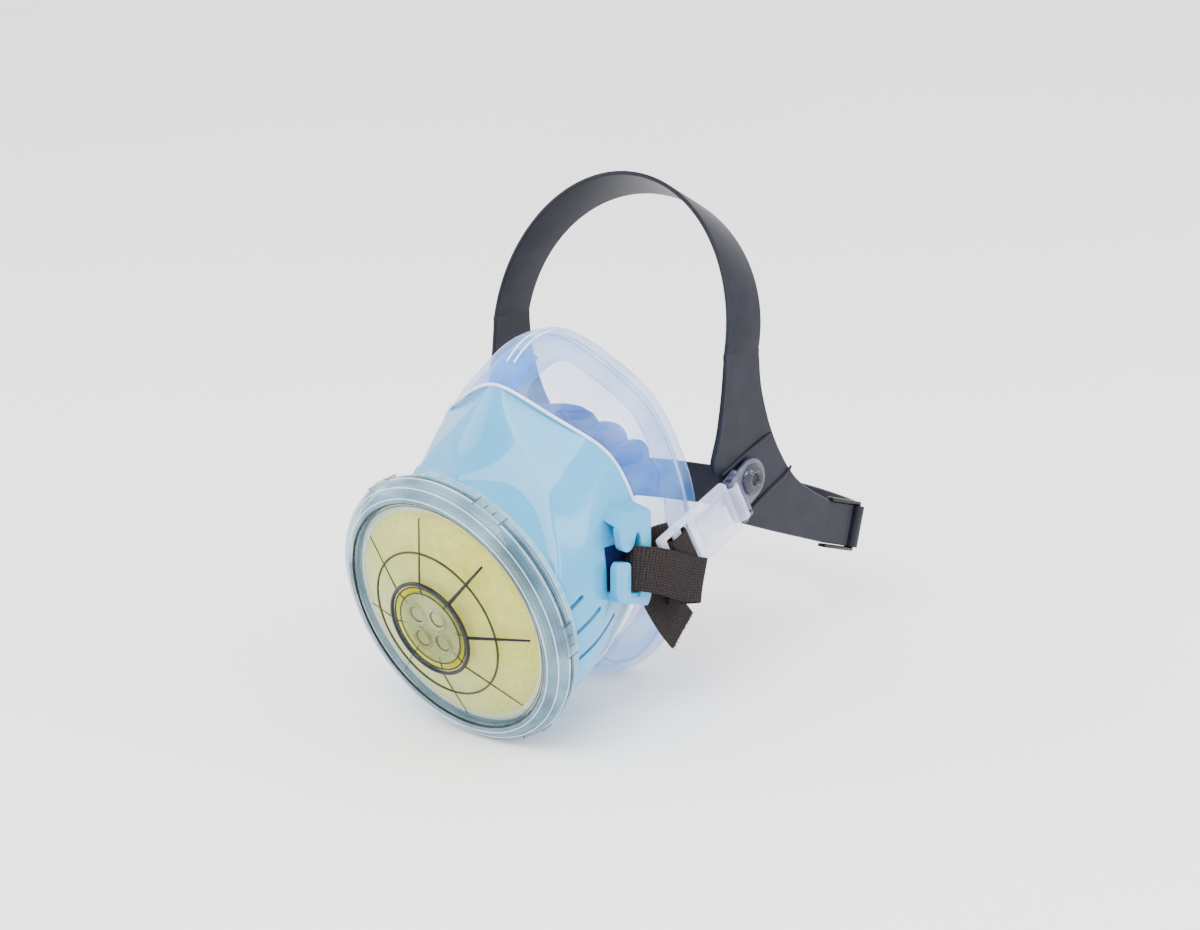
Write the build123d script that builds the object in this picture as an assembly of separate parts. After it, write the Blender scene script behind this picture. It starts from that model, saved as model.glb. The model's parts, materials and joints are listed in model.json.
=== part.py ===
from build123d import *
import math
import os

# Half-mask respirator with one front filter, millimetres.
# MASK frame: origin at the middle of the filter window, +X the wearer's left,
# +Y back along the filter's axis towards the face, +Z up along the window.
# STRAP frame: the same, but upright as the mask stands, for hooks and harness.
# STAND_TILT turns both into the finished frame, which stands on its lowest points.

# ---- filter cap and base: radii, and depths along the filter's axis ----
WINDOW_R = 43.4
CAP_R = 50.0
CAP_BORE_R = 46.9
CAP_WALL = 1.4
LIP_DEPTH = 3.4
CAP_BACK = 9.1
NOSE_R = 17.6
NOSE_HOLE_R = 15.8
NOSE_FRONT = -9.0
CONE_NOSE = -8.1
BOSS_R = 13.7
BOSS_FRONT = -8.7
MID_RIB_R = 27.2
RIB_COUNT = 8
GRIP_COUNT = 6
GRIP_ANGLE = 14.0
GRIP_FIRST = -2.0
BASE_R = 48.2
COLLAR_OUT_R = 46.8
COLLAR_IN_R = 44.6
BASE_FRONT = 9.4
BASE_BACK = 11.8
CAP_FACE = 3.2
SEAL_BACK = 4.2
SEAL_GAP = 0.05
RIB_WIDTH = 0.9
RIB_HEIGHT = 0.7
RIB_SINK = 0.6
RIB_TIP_R = 40.0
SPOKE_SIDE = 1.2
PETAL_R = 4.3
PETAL_AT = 6.6
GRIP_HEIGHT = 0.6
PAD_R = 42.6
PAD_FRONT = -4.6
PAD_BACK = 8.2
NECK_OUT_R = 14.0
NECK_IN_R = 11.5
NECK_BACK = 27.0
BASE_RIB_COUNT = 12
GASKET_BACK = 13.0
GASKET_R = 26.0
WIDE = 60.0

# ---- front shell ----
SHELL_R = 46.0
SHELL_WALL = 2.2
SHELL_FRONT = 13.0
COLLAR_BACK = 24.0
SHELL_BACK = 56.0
RIM_TOP_DEPTH = 46.0
RIM_SADDLE_R = 98.0
# right half of the shell's outline at SHELL_BACK, from the nose to the chin
SHELL_HALF = [(0, 74), (10.5, 70), (23.6, 59.1), (34.4, 48.7), (40.3, 38.3), (43, 22),
              (41.5, 5), (35.3, -12), (26.5, -26.7), (15.2, -42.5), (0, -52)]

# ---- facepiece ----
FIT_GAP = 0.3
SKIN = 2.2
MID_DEPTH = 65.0
FACE_DEPTH = 86.0
FACE_CURVE_R = 360.0
FACE_CURVE_Z = 25.0
FACE_BACK = 85.0
LIP_WIDTH = 13.0
TONGUE_FRONT = 40.0
TONGUE_WALL = 1.8
BEAD_WIDTH = 3.2
BEAD_INSET = 0.6
MID_HALF = [(0, 73.5), (11, 70.5), (22.5, 62), (32.5, 53.5), (40, 42), (44.5, 22),
            (43.5, 0), (37.5, -20), (28.5, -36), (16.5, -52), (0, -60)]
FACE_HALF = [(0, 69), (11, 66.5), (21.5, 60.5), (31, 53), (38, 42), (43, 22),
             (43.5, 0), (38, -22), (29.5, -39), (17.5, -56), (0, -65)]

# ---- clamping frame inside the facepiece ----
FRAME_WALL = 1.8
LOBE_INSET = 5.4
FRAME_BACK = 50.0
LOBE_R = 4.9
LOBE_X = 30.0
LOBE_LENGTH = 24.0
LOBE_ROOT = 44.0
# back end of each lobe, as depth and height
LOBES = [(57.0, 50.5), (63.0, 42.5), (69.0, 33.5), (70.5, 24.0)]

# ---- valves ----
FLAP_T = 0.7
FLAP_R = 9.6
STEM_R = 1.2
STEM_FIT = 0.06
SEAT_T = 1.6
SEAT_BACK = 26.6
NUT_OUT_R = 19.5
NUT_BACK = 20.6
NUT_LOBES = 10
NUT_LOBE_R = 3.2
NUT_FIT = 0.05
VENT_DEPTH = 28.0
VENT_HEIGHT = -4.0
VENT_IN_R = 8.0
VENT_OUT_R = 9.4
VENT_SEAT_X = 28.0
VENT_FLAP_R = 6.9
GROOVE_DEPTH = 1.1
SLOT_WIDTH = 1.7
SLOT_RISE = 10.0
# back end of each vent slot, as depth and height
SLOTS = [(20.0, 6.0), (27.0, -2.5), (37.0, -11.5)]

# ---- strap hook, in the STRAP frame ----
PITCH = 17.0
STAND_TILT = 10.4
WINDOW_HEIGHT = 47.0
HOOK_X = 47.0
HOOK_T = 3.0
HOOK_ROOT_X = 36.0
# outline of the hook's outer plate, as (y, z): hood, post, foot, slot, finger
HOOK_OUTLINE = [(36.0, 85.0), (47.4, 84.0), (48.2, 54.2), (46.2, 50.2), (32.2, 54.0), (30.0, 57.2),
                (30.0, 66.6), (31.4, 68.2), (36.4, 67.4), (37.4, 66.2), (37.4, 55.2), (42.4, 54.4), (42.4, 75.2),
                (40.4, 77.7), (39.0, 73.2), (37.4, 71.4), (35.0, 71.0), (32.6, 72.6), (31.2, 79.4)]
# the hood between the plate and the shell, as (y, z) at each end
HOOD_OUTER = [(31.2, 79.4), (36.0, 85.0), (47.4, 84.0), (48.0, 80.4), (35.0, 80.0)]
HOOD_INNER = [(32.4, 82.0), (33.6, 85.2), (42.6, 88.8), (44.4, 83.6), (42.0, 79.4)]
FOOT = [(32.2, 54.0), (46.2, 50.2), (48.2, 54.2), (48.2, 55.2), (32.2, 57.0)]

# ---- webbing ----
WEB_WIDTH = 16.0
WEB_T = 1.3
LOOP_X = HOOK_X + HOOK_T / 2
LOOP_R = 3.1
LOOP_Y = 42.4
LOOP_Z = 64.8
# the strip's middle line outside the hook, and where it turns back inwards
OUTER_KNEE = (55.6, 47.5, 63.0)
OUTER_END = (57.4, 65.0, 54.8)
CURL_R = 4.2
CURL_DROP = 2.4
INNER_BEND = (45.4, 50.0, 67.4)
INNER_END = (50.0, 58.0, 71.2)
TAIL_TOP = (45.4, 57.0, 63.5)
TAIL_BEND = (45.7, 57.4, 50.0)
TAIL_END = (46.2, 66.2, 34.5)

# ---- buckle, link and snap button ----
STRAP_SLOPE = 31.0
BUTTON = (92.0, 87.3)
LINK_X = 56.4
LINK_T = 1.6
LINK_LENGTH = 11.4
LINK_WIDTH = 14.5
BAR_X = 58.9
BAR_R = 1.5
BAR_LENGTH = 18.2
CHEEK_T = 1.5
BUCKLE_LENGTH = 33.0
BUCKLE_WIDTH = 20.5
BUCKLE_T = 2.6
BUCKLE_LEAN = 11.0
BUCKLE_SLOTS = (4.6, 11.2)
BUCKLE_SLOT = 3.4
PANE_LENGTH = 15.5
KNUCKLE_WALL = 1.2
SHANK_R = 2.5
DOME_R = 5.6

# ---- harness ----
PLATE_X = 53.0
PLATE_T = 2.2
BAND_X = 54.0
BAND_WIDTH = 18.0
BAND_T = 1.5
BAND_LEG_Y = 90.0
BAND_LEG_Z = 132.0
BAND_TOP_Y = 102.0
BAND_TOP_Z = 184.0
BAND_TWIST = 29.0
# the two raised ridges beside the snap button, as (y, z) at each end
RIDGES = [((80.5, 91.5), (105.0, 101.5)), ((90.0, 75.5), (116.5, 85.0))]
RIDGE_WIDTH = 1.6
CLIP_SLOPE = -16.0
CLIP = (148.5, 59.5)
CLIP_SIZE = (3.4, 17.8, 18.4)
CLIP_BAR = 1.3
NECK_Y = 157.4
NECK_BULGE = 10.0
NECK_WIDTH = 16.0
NECK_LOW = 50.6


def spin(profile):
    """Turn a closed outline of (radius, depth) points about the filter's axis."""
    face = make_face(Polyline(*profile, close=True))
    return revolve(face, Axis.Y, 360)


def about_axis(shape, angle):
    """Turn a shape about the filter's axis, anticlockwise as the wearer faces away."""
    return Rot(0, -angle, 0) * shape


def ring(inner, outer, front, back):
    """A plain ring about the filter's axis."""
    return spin([(inner, front), (outer, front), (outer, back), (inner, back)])


def rod(radius, front, back):
    """A plain disc or rod on the filter's axis."""
    return spin([(0, front), (radius, front), (radius, back), (0, back)])


def inset_points(half, inset):
    """Mirror a right-half outline into a closed one, and move it inwards."""
    full = list(half) + [(-x, z) for x, z in reversed(half[1:-1])]
    moved = []
    for i, (x, z) in enumerate(full):
        before = full[i - 1]
        after = full[(i + 1) % len(full)]
        along = Vector(after[0] - before[0], after[1] - before[1], 0).normalized()
        moved.append((x + inset * along.Y, z - inset * along.X))
    return moved


def section(half, depth, inset=0.0):
    """A smooth closed face through an outline, square to the filter's axis."""
    points = [(x, depth, z) for x, z in inset_points(half, inset)]
    return make_face(Spline(*points, periodic=True))


def round_half(radius):
    """Points of a circle at the same angles as the shell's outline."""
    half = []
    for x, z in SHELL_HALF:
        reach = math.hypot(x, z)
        half.append((radius * x / reach, radius * z / reach))
    return half


def blend_half(near, far, share):
    """An outline part of the way from one to another."""
    return [(a + (c - a) * share, b + (d - b) * share) for (a, b), (c, d) in zip(near, far)]


def shell_half(depth):
    """The shell's outline at a depth behind its round collar."""
    share = (depth - COLLAR_BACK) / (SHELL_BACK - COLLAR_BACK)
    return blend_half(round_half(SHELL_R), SHELL_HALF, share)


def shell_body(inset, front, back):
    """The shell's round collar and flare, as one solid."""
    sections = [section(round_half(SHELL_R), front, inset)]
    if front < COLLAR_BACK - 1:
        sections.append(section(round_half(SHELL_R), COLLAR_BACK, inset))
    for depth in (38.0, back):
        sections.append(section(shell_half(depth), depth, inset))
    return loft(sections)


def flare(inset, front, back):
    """The shell's flare alone between two depths, moved inwards."""
    middle = (front + back) / 2
    return loft([section(shell_half(d), d, inset) for d in (front, middle, back)])


def saddle(beyond):
    """What lies in front of the shell's curved rear rim moved back by some distance."""
    axis_depth = RIM_TOP_DEPTH + RIM_SADDLE_R
    block = Pos(0, 10, 0) * Box(160, 140, 260)
    bite = Pos(0, axis_depth, 0) * Cylinder(RIM_SADDLE_R - beyond, 260)
    return block - bite


def place_level(shape):
    """Move a shape from the STRAP frame into the MASK frame."""
    return Rot(-PITCH, 0, 0) * Pos(0, 0, -WINDOW_HEIGHT) * shape


# ---------------------------------------------------------------- filter

def cone_depth(radius):
    """Depth of the window's front face at a radius."""
    share = (WINDOW_R - radius) / (WINDOW_R - NOSE_R)
    return CONE_NOSE * share


def filter_cap():
    body = cap_shell() + mid_rib() + rod(BOSS_R, BOSS_FRONT, BOSS_FRONT + 1.6)
    rib = radial_rib()
    gap = NOSE_HOLE_R - BOSS_R
    spoke = Pos(BOSS_R + gap / 2, BOSS_FRONT + 1.0, 0) * Box(gap + SPOKE_SIDE, SPOKE_SIDE, SPOKE_SIDE)
    for k in range(RIB_COUNT):
        angle = k * 360 / RIB_COUNT
        body += about_axis(rib, angle) + about_axis(spoke, angle)
    petal = Cylinder(PETAL_R, 0.8) - Cylinder(PETAL_R - 1.2, 2)
    petal = Pos(PETAL_AT, BOSS_FRONT - 0.2, 0) * Rot(90, 0, 0) * petal
    for k in range(4):
        body += about_axis(petal, 45 + 90 * k)
    return body + grips()


def cap_shell():
    """The cap's window, rim and skirt, without any ribs."""
    window = [(NOSE_HOLE_R, NOSE_FRONT), (NOSE_R, NOSE_FRONT), (NOSE_R, CONE_NOSE),
              (WINDOW_R - 0.5, 0.4), (WINDOW_R, -0.4)]
    skirt = [(CAP_R - 1.2, 2.0), (CAP_R, LIP_DEPTH), (CAP_R, 6.6), (CAP_R - 0.6, 6.9),
             (CAP_R - 0.6, 7.8), (CAP_R - 1.2, 8.1), (CAP_R - 1.2, CAP_BACK)]
    inside = [(CAP_BORE_R, CAP_BACK), (CAP_BORE_R, CAP_FACE), (COLLAR_IN_R, CAP_FACE),
              (WINDOW_R - 0.4, CAP_WALL + 0.3), (NOSE_R, CONE_NOSE + CAP_WALL + 0.1),
              (NOSE_HOLE_R, CONE_NOSE + 2.4)]
    return spin(window + skirt + inside)


def radial_rib():
    """One rib on the window, from the nose outwards, with a sloped tip."""
    start = NOSE_R - 0.5
    slope_r = RIB_TIP_R - 2
    points = [(start, CONE_NOSE - RIB_HEIGHT), (start, CONE_NOSE + RIB_SINK),
              (RIB_TIP_R, cone_depth(RIB_TIP_R) + RIB_SINK), (RIB_TIP_R, cone_depth(RIB_TIP_R) - 0.2),
              (slope_r, cone_depth(slope_r) - RIB_HEIGHT)]
    rib = extrude(make_face(Polyline(*points, close=True)), RIB_WIDTH, dir=(0, 0, 1))
    return Pos(0, 0, -RIB_WIDTH / 2) * rib


def mid_rib():
    """The ring rib half-way out on the window."""
    front = cone_depth(MID_RIB_R) - RIB_HEIGHT
    back = cone_depth(MID_RIB_R) + RIB_SINK
    return ring(MID_RIB_R - RIB_WIDTH / 2, MID_RIB_R + RIB_WIDTH / 2, front, back)


def grips():
    """Raised finger grips round the cap's skirt."""
    blocks = []
    band = ring(CAP_R - 1.0, CAP_R + GRIP_HEIGHT, LIP_DEPTH + 0.4, CAP_BACK - 0.6)
    half = math.tan(math.radians(GRIP_ANGLE / 2)) * WIDE
    sector = make_face(Polyline((0, 0, 0), (WIDE, 0, half), (WIDE, 0, -half), close=True))
    wedge = extrude(sector, 20, dir=(0, 1, 0))
    for k in range(GRIP_COUNT):
        blocks.append(band & about_axis(wedge, GRIP_FIRST + 360 / GRIP_COUNT * k))
    return blocks


def cap_seal():
    """Flat ring between the cap and the collar, a hair clear of both."""
    return ring(COLLAR_IN_R + 0.1, COLLAR_OUT_R - 0.1, CAP_FACE + SEAL_GAP, SEAL_BACK - SEAL_GAP)


def filter_pad():
    """Felt filter with a flat middle and sloped sides."""
    shoulder = 18.4
    rise = cone_depth(PAD_R) + CAP_WALL + 1.2
    return spin([(0, PAD_FRONT), (shoulder, PAD_FRONT), (PAD_R, rise), (PAD_R, PAD_BACK), (0, PAD_BACK)])


def filter_base():
    """Filter holder: a collar for the cap, a flange and a neck through the shell."""
    flange = ring(NECK_IN_R, BASE_R, BASE_FRONT, BASE_BACK)
    collar = ring(COLLAR_IN_R, COLLAR_OUT_R, SEAL_BACK, BASE_FRONT)
    neck = ring(NECK_IN_R, NECK_OUT_R, BASE_FRONT, NECK_BACK)
    body = flange + collar + neck
    rib = Pos(28.5, (PAD_BACK + BASE_FRONT) / 2, 0) * Box(27, BASE_FRONT - PAD_BACK, 1.2)
    for k in range(BASE_RIB_COUNT):
        body += about_axis(rib, 360 / BASE_RIB_COUNT * k)
    return body


def base_gasket():
    """Soft ring squeezed between the base and the shell."""
    return ring(NECK_OUT_R + 3, GASKET_R, BASE_BACK, GASKET_BACK)


def neck_nut():
    """Lobed nut that clamps the filter base to the shell."""
    front = SHELL_FRONT + SHELL_WALL
    nut = ring(NECK_OUT_R, NUT_OUT_R, front, NUT_BACK)
    lobe = Pos(NUT_OUT_R, (front + NUT_BACK) / 2, 0) * Rot(90, 0, 0) * Cylinder(NUT_LOBE_R, NUT_BACK - front)
    for k in range(NUT_LOBES):
        nut += about_axis(lobe, 360 / NUT_LOBES * k)
    return nut - rod(NECK_OUT_R + NUT_FIT, 0, 40)


# ---------------------------------------------------------------- valves

def valve_seat(outer, depth, spokes=6):
    """A spoked disc with a stem hole in its middle, facing back."""
    seat = ring(outer - 2.0, outer, depth - SEAT_T, depth)
    seat += ring(STEM_R + STEM_FIT, STEM_R + 1.6, depth - SEAT_T, depth)
    arm = Pos(outer / 2 + 0.6, depth - SEAT_T / 2, 0) * Box(outer - 3.6, SEAT_T, 1.2)
    for k in range(spokes):
        seat += about_axis(arm, 360 / spokes * k)
    return seat


def valve_flap(radius, depth):
    """A thin disc on a stem that runs through its seat, with a bulb to hold it."""
    bulb_back = depth - SEAT_T - 2.6
    disc = rod(radius, depth + 0.02, depth + FLAP_T)
    stem = rod(STEM_R, bulb_back - 1, depth + 0.1)
    return disc + stem + rod(STEM_R + 0.5, bulb_back - 1, bulb_back)


def to_side(shape, side):
    """Turn a valve made on the filter's axis to blow out through one cheek."""
    return Pos(0, VENT_DEPTH, VENT_HEIGHT) * Rot(0, 0, -90 * side) * shape


def exhale_seat(side):
    """Spoked seat in one cheek of the shell."""
    seat = valve_seat(VENT_IN_R - 0.02, VENT_SEAT_X, 4)
    return to_side(seat, side)


def exhale_flap(side):
    """Flap on the outside of one cheek's seat."""
    return to_side(valve_flap(VENT_FLAP_R, VENT_SEAT_X), side)


# ---------------------------------------------------------------- shell

def upright_face(points, x):
    """A flat face across the wearer's width, through (y, z) points."""
    return make_face(Polyline(*[(x, y, z) for y, z in points], close=True))


def hook(side):
    """Strap hook: a hood, a hanging finger and a post that the webbing goes round."""
    plate = extrude(upright_face(HOOK_OUTLINE, HOOK_X), HOOK_T, dir=(1, 0, 0))
    hood = loft([upright_face(HOOD_INNER, HOOK_ROOT_X), upright_face(HOOD_OUTER, HOOK_X + 1)], ruled=True)
    foot = extrude(upright_face(FOOT, HOOK_ROOT_X), HOOK_X - HOOK_ROOT_X + 1, dir=(1, 0, 0))
    shape = place_level(plate + hood + foot)
    return shape if side > 0 else mirror(shape, Plane.YZ)


def vent_tube(side):
    """Tube through one cheek that holds the exhale valve's seat."""
    tube = ring(VENT_IN_R, VENT_OUT_R, VENT_SEAT_X - 2.0, WIDE)
    return to_side(tube, side)


def vent_slots(side):
    """Three slots from the cap's edge back along the cheek, each longer than the last."""
    slots = []
    for back, height in SLOTS:
        length = back - SHELL_FRONT + 6
        bar = Pos(40 * side, back - length / 2, height) * Rot(SLOT_RISE, 0, 0) * Box(24, length, SLOT_WIDTH)
        slots.append(bar)
    return slots


def front_shell():
    """Hard shell with its valve tubes, vent slots and strap hooks."""
    outer = shell_body(0, SHELL_FRONT, SHELL_BACK)
    inner = shell_body(SHELL_WALL, SHELL_FRONT + SHELL_WALL, SHELL_BACK + 4)
    core = shell_body(GROOVE_DEPTH, SHELL_FRONT + 0.5, SHELL_BACK + 4)
    body = (outer - inner) & saddle(0)
    for side in (1, -1):
        body += vent_tube(side) & outer
        body += hook(side) - outer
        throat = to_side(rod(VENT_IN_R, VENT_SEAT_X - 4, WIDE), side)
        for slot in vent_slots(side):
            body -= slot & throat
            body -= slot - core - rod(WIDE, 0, SHELL_FRONT + SHELL_WALL)
    return body - rod(NECK_OUT_R + 0.1, 0, 30)


# ---------------------------------------------------------------- facepiece

def skin_body(inset, extra):
    """The facepiece's outside between the shell's rim and the face."""
    sections = [section(shell_half(LOBE_ROOT), LOBE_ROOT, inset + 0.4), section(MID_HALF, MID_DEPTH, inset),
                section(FACE_HALF, FACE_DEPTH + extra, inset)]
    return loft(sections)


def face_dome(offset):
    """Everything in front of the curved surface that the face meets."""
    return Pos(0, FACE_BACK - FACE_CURVE_R - offset, FACE_CURVE_Z) * Rot(0, 90, 0) * Cylinder(FACE_CURVE_R, 260)


def facepiece():
    """Soft skirt and face seal, with a tongue inside the shell's rim and a bead behind it."""
    outer = skin_body(0, 0) & face_dome(0)
    inner = skin_body(SKIN, 0) & face_dome(SKIN)
    mouth = skin_body(LIP_WIDTH, 4)
    skirt = (outer - inner - mouth) - saddle(FIT_GAP)
    tongue_inset = SHELL_WALL + FIT_GAP
    hollow = flare(tongue_inset + TONGUE_WALL, TONGUE_FRONT - 1, SHELL_BACK + 1)
    tongue = (flare(tongue_inset, TONGUE_FRONT, SHELL_BACK) - hollow) & saddle(BEAD_WIDTH)
    bead_zone = saddle(BEAD_WIDTH) - saddle(FIT_GAP)
    bead = (flare(BEAD_INSET, TONGUE_FRONT, SHELL_BACK) - hollow) & bead_zone
    return skirt + tongue + bead


def clamp_frame():
    """Stiff ring inside the tongue, with rounded lobes that back the cheeks."""
    inset = SHELL_WALL + FIT_GAP + TONGUE_WALL + 0.3
    wall = flare(inset, TONGUE_FRONT + 1, SHELL_BACK)
    wall -= flare(inset + FRAME_WALL, TONGUE_FRONT, SHELL_BACK + 1)
    frame = wall & (Pos(0, FRAME_BACK - 50, 0) * Box(200, 100, 200))
    skin = cheek_body(LOBE_INSET) - cheek_body(LOBE_INSET + FRAME_WALL)
    for side in (1, -1):
        for back, height in LOBES:
            behind = Pos(LOBE_X * side, FRAME_BACK - 1 + 25, height) * Box(60, 50, 60)
            frame += finger(side, back, height) & skin & behind
    return frame


def cheek_body(inset):
    """The facepiece's outside, moved inwards, as the lobes follow it."""
    return loft([section(shell_half(LOBE_ROOT), LOBE_ROOT, inset + 0.6), section(MID_HALF, MID_DEPTH, inset),
                 section(FACE_HALF, FACE_DEPTH, inset)])


def finger(side, back, height):
    """A round-ended bar right through one cheek, sloping down to the back."""
    slope = math.radians(PITCH)
    half = LOBE_LENGTH / 2
    middle = Pos(LOBE_X * side, back - half * math.cos(slope), height + half * math.sin(slope))
    bar = middle * Rot(-PITCH, 0, 0) * Box(50, LOBE_LENGTH, 2 * LOBE_R)
    return bar + Pos(LOBE_X * side, back, height) * Rot(0, 90, 0) * Cylinder(LOBE_R, 50)


# ---------------------------------------------------------------- webbing and buckles

def slab(start, end, width, thickness, across=(1, 0, 0)):
    """A flat strip between two points, its face turned towards across."""
    a = Vector(*start)
    run = Vector(*end) - a
    plane = Plane(origin=a, x_dir=run.normalized(), z_dir=run.cross(Vector(*across)).cross(run).normalized())
    return plane.location * Pos(run.length / 2, 0, 0) * Box(run.length, width, thickness)


def half_loop(centre, radius, width, front):
    """Half a turn of strip about an upright axis, on its front or its back."""
    turn = Cylinder(radius + WEB_T / 2, width) - Cylinder(radius - WEB_T / 2, 2 * width)
    return Pos(*centre) * (turn & (Pos(0, -20 if front else 20, 0) * Box(40, 40, 40)))


def webbing():
    """Elastic strip from the buckle round the hook's post and back, with its free end."""
    root = (LOOP_X - LOOP_R, LOOP_Y - 0.2, LOOP_Z)
    fold = half_loop((LOOP_X, LOOP_Y, LOOP_Z), LOOP_R, WEB_WIDTH, True)
    inner = slab(root, INNER_BEND, WEB_WIDTH, WEB_T) + slab(INNER_BEND, INNER_END, WEB_WIDTH - 0.4, WEB_T)
    outer = slab((LOOP_X + LOOP_R, LOOP_Y - 0.2, LOOP_Z), OUTER_KNEE, WEB_WIDTH, WEB_T)
    outer += slab(OUTER_KNEE, OUTER_END, WEB_WIDTH - 0.4, WEB_T)
    x, y, end_z = OUTER_END
    z = end_z - CURL_DROP
    curl_width = WEB_WIDTH - 4
    curl = half_loop((x - CURL_R, y, z), CURL_R, curl_width, False)
    back = slab((x - 2 * CURL_R, y + 0.2, z), (x - 2 * CURL_R, 52, z), curl_width, WEB_T)
    bend_x, bend_y, bend_z = TAIL_BEND
    tail = slab(root, TAIL_TOP, WEB_WIDTH, WEB_T)
    above = (bend_x - 0.3, bend_y - 0.4, TAIL_TOP[2] + WEB_WIDTH / 2)
    tail += slab(above, TAIL_BEND, WEB_WIDTH - 0.6, WEB_T)
    tail += slab((bend_x, bend_y, bend_z + 1), TAIL_END, WEB_WIDTH, WEB_T)
    return fold + inner + outer + curl + back + tail


def strap_frame():
    """Frame at the bar, X' back along the strap, Y' across it, Z' outwards."""
    slope = math.radians(STRAP_SLOPE)
    bar_y = BUTTON[0] - LINK_LENGTH * math.cos(slope)
    bar_z = BUTTON[1] - LINK_LENGTH * math.sin(slope)
    return Plane(origin=(BAR_X, bar_y, bar_z), x_dir=(0, math.cos(slope), math.sin(slope)), z_dir=(1, 0, 0))


def buckle():
    """Clear ladder buckle: a knuckle on the bar, a closed pane and two slots."""
    middle = -BUCKLE_LENGTH / 2 - BAR_R
    front = -BUCKLE_LENGTH - BAR_R
    slot_length = BUCKLE_WIDTH - 3.6
    plate = Pos(middle, 0, -0.2) * Box(BUCKLE_LENGTH, BUCKLE_WIDTH, BUCKLE_T)
    for at in BUCKLE_SLOTS:
        plate -= Pos(front + at, 0, 0) * Box(BUCKLE_SLOT, slot_length, 10)
    hollow = Pos(-BUCKLE_LENGTH / 2 + 5.5, 0, -1.5) * Box(PANE_LENGTH, slot_length - 1, 2.0)
    knuckle = Rot(90, 0, 0) * Cylinder(BAR_R + KNUCKLE_WALL, BUCKLE_WIDTH - 6.5)
    leaned = Rot(0, -BUCKLE_LEAN, 0) * ((plate - hollow) + knuckle)
    leaned -= Rot(90, 0, 0) * Cylinder(BAR_R + 0.08, 40)
    return strap_frame().location * leaned


def link():
    """Bar for the buckle, two cheeks and a tongue that the snap button holds."""
    tongue_z = LINK_X + LINK_T / 2 - BAR_X
    bar = Rot(90, 0, 0) * Cylinder(BAR_R, BAR_LENGTH)
    yoke_x = 4.6
    cheek = Box(yoke_x + 2.3, CHEEK_T, 3.4)
    body = bar + Pos(yoke_x, 0, tongue_z) * Box(2.8, BAR_LENGTH, LINK_T)
    for end in (1, -1):
        body += Pos(yoke_x / 2 + 0.25, end * (BAR_LENGTH / 2 - CHEEK_T / 2), tongue_z / 2) * cheek
    start = yoke_x + 1
    body += Pos((LINK_LENGTH + start) / 2, 0, tongue_z) * Box(LINK_LENGTH - start, LINK_WIDTH, LINK_T)
    body += Pos(LINK_LENGTH, 0, tongue_z) * Cylinder(LINK_WIDTH / 2, LINK_T)
    body -= Pos(LINK_LENGTH, 0, tongue_z) * Cylinder(SHANK_R + 0.05, 10)
    return strap_frame().location * body


def snap_button():
    """Domed button outside the link, a shank through the plate and a flat head inside."""
    outside = LINK_X + LINK_T
    inside = PLATE_X - 1.6
    dome = Pos(outside + 1.1, 0, 0) * Rot(0, 90, 0) * Cylinder(DOME_R, 2.2)
    dome -= Pos(outside + 2.4, 0, 0) * Sphere(2.1)
    outermost = dome.edges().filter_by(GeomType.CIRCLE).group_by(Axis.X)[-1]
    dome = dome.fillet(1.4, [outermost.sort_by(SortBy.RADIUS)[-1]])
    shank = Pos((outside + inside) / 2, 0, 0) * Rot(0, 90, 0) * Cylinder(SHANK_R, outside - inside + 0.4)
    head = Pos(inside - 0.6, 0, 0) * Rot(0, 90, 0) * Cylinder(4.6, 1.2)
    return Pos(0, *BUTTON) * (dome + shank + head)


# ---------------------------------------------------------------- harness

def band_section(turn):
    """Cross-section of the head band, from the left leg (0) over the top to the right (180)."""
    angle = math.radians(turn)
    rise = math.sin(angle)
    centre = Vector(BAND_X * math.cos(angle), BAND_LEG_Y + (BAND_TOP_Y - BAND_LEG_Y) * rise,
                    BAND_LEG_Z + (BAND_TOP_Z - BAND_LEG_Z) * rise)
    twist = math.radians(BAND_TWIST) * rise
    across = Vector(0, math.cos(twist), -math.sin(twist))
    run = Vector(-BAND_X * math.sin(angle), (BAND_TOP_Y - BAND_LEG_Y) * math.cos(angle),
                 (BAND_TOP_Z - BAND_LEG_Z) * math.cos(angle)).normalized()
    if rise < 0.01:
        run = Vector(0, 0, math.cos(angle))
        centre -= Vector(0, 0, 0.5)
    plane = Plane(origin=centre, x_dir=across, z_dir=run)
    return plane.location * Rectangle(BAND_WIDTH, BAND_T)


def plate_outline():
    """Side plate of the harness: the foot of a band leg, a corner for the link, and a tail."""
    concave = Spline((99, BAND_LEG_Z), (101.2, 116), (108.5, 98), (121.5, 81.5), (141.4, 69.6))
    corners = Polyline((141.4, 69.6), (155.6, 65.5), (151.5, 50.7), (137.5, 54.8), (90.4, 71.2), (86.6, 74.0))
    edge = Spline((86.6, 74.0), (80.5, 84.5), (74.6, 95.5))
    leg = Spline((74.6, 95.5), (79.2, 114), (81, BAND_LEG_Z))
    top = Line((81, BAND_LEG_Z), (99, BAND_LEG_Z))
    return make_face(Wire([concave.edge(), *corners.edges(), edge.edge(), leg.edge(), top.edge()]))


def side_plate():
    """One side plate with its ridges and the hole for the snap button."""
    yz = Plane(origin=(PLATE_X, 0, 0), x_dir=(0, 1, 0), z_dir=(1, 0, 0))
    plate = extrude(yz * plate_outline(), PLATE_T)
    ridge_x = PLATE_X + PLATE_T + 0.2
    for start, end in RIDGES:
        plate += slab((ridge_x, *start), (ridge_x, *end), RIDGE_WIDTH, RIDGE_WIDTH * 0.75)
    return plate - Pos(PLATE_X, *BUTTON) * Rot(0, 90, 0) * Cylinder(SHANK_R + 0.08, 20)


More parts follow.
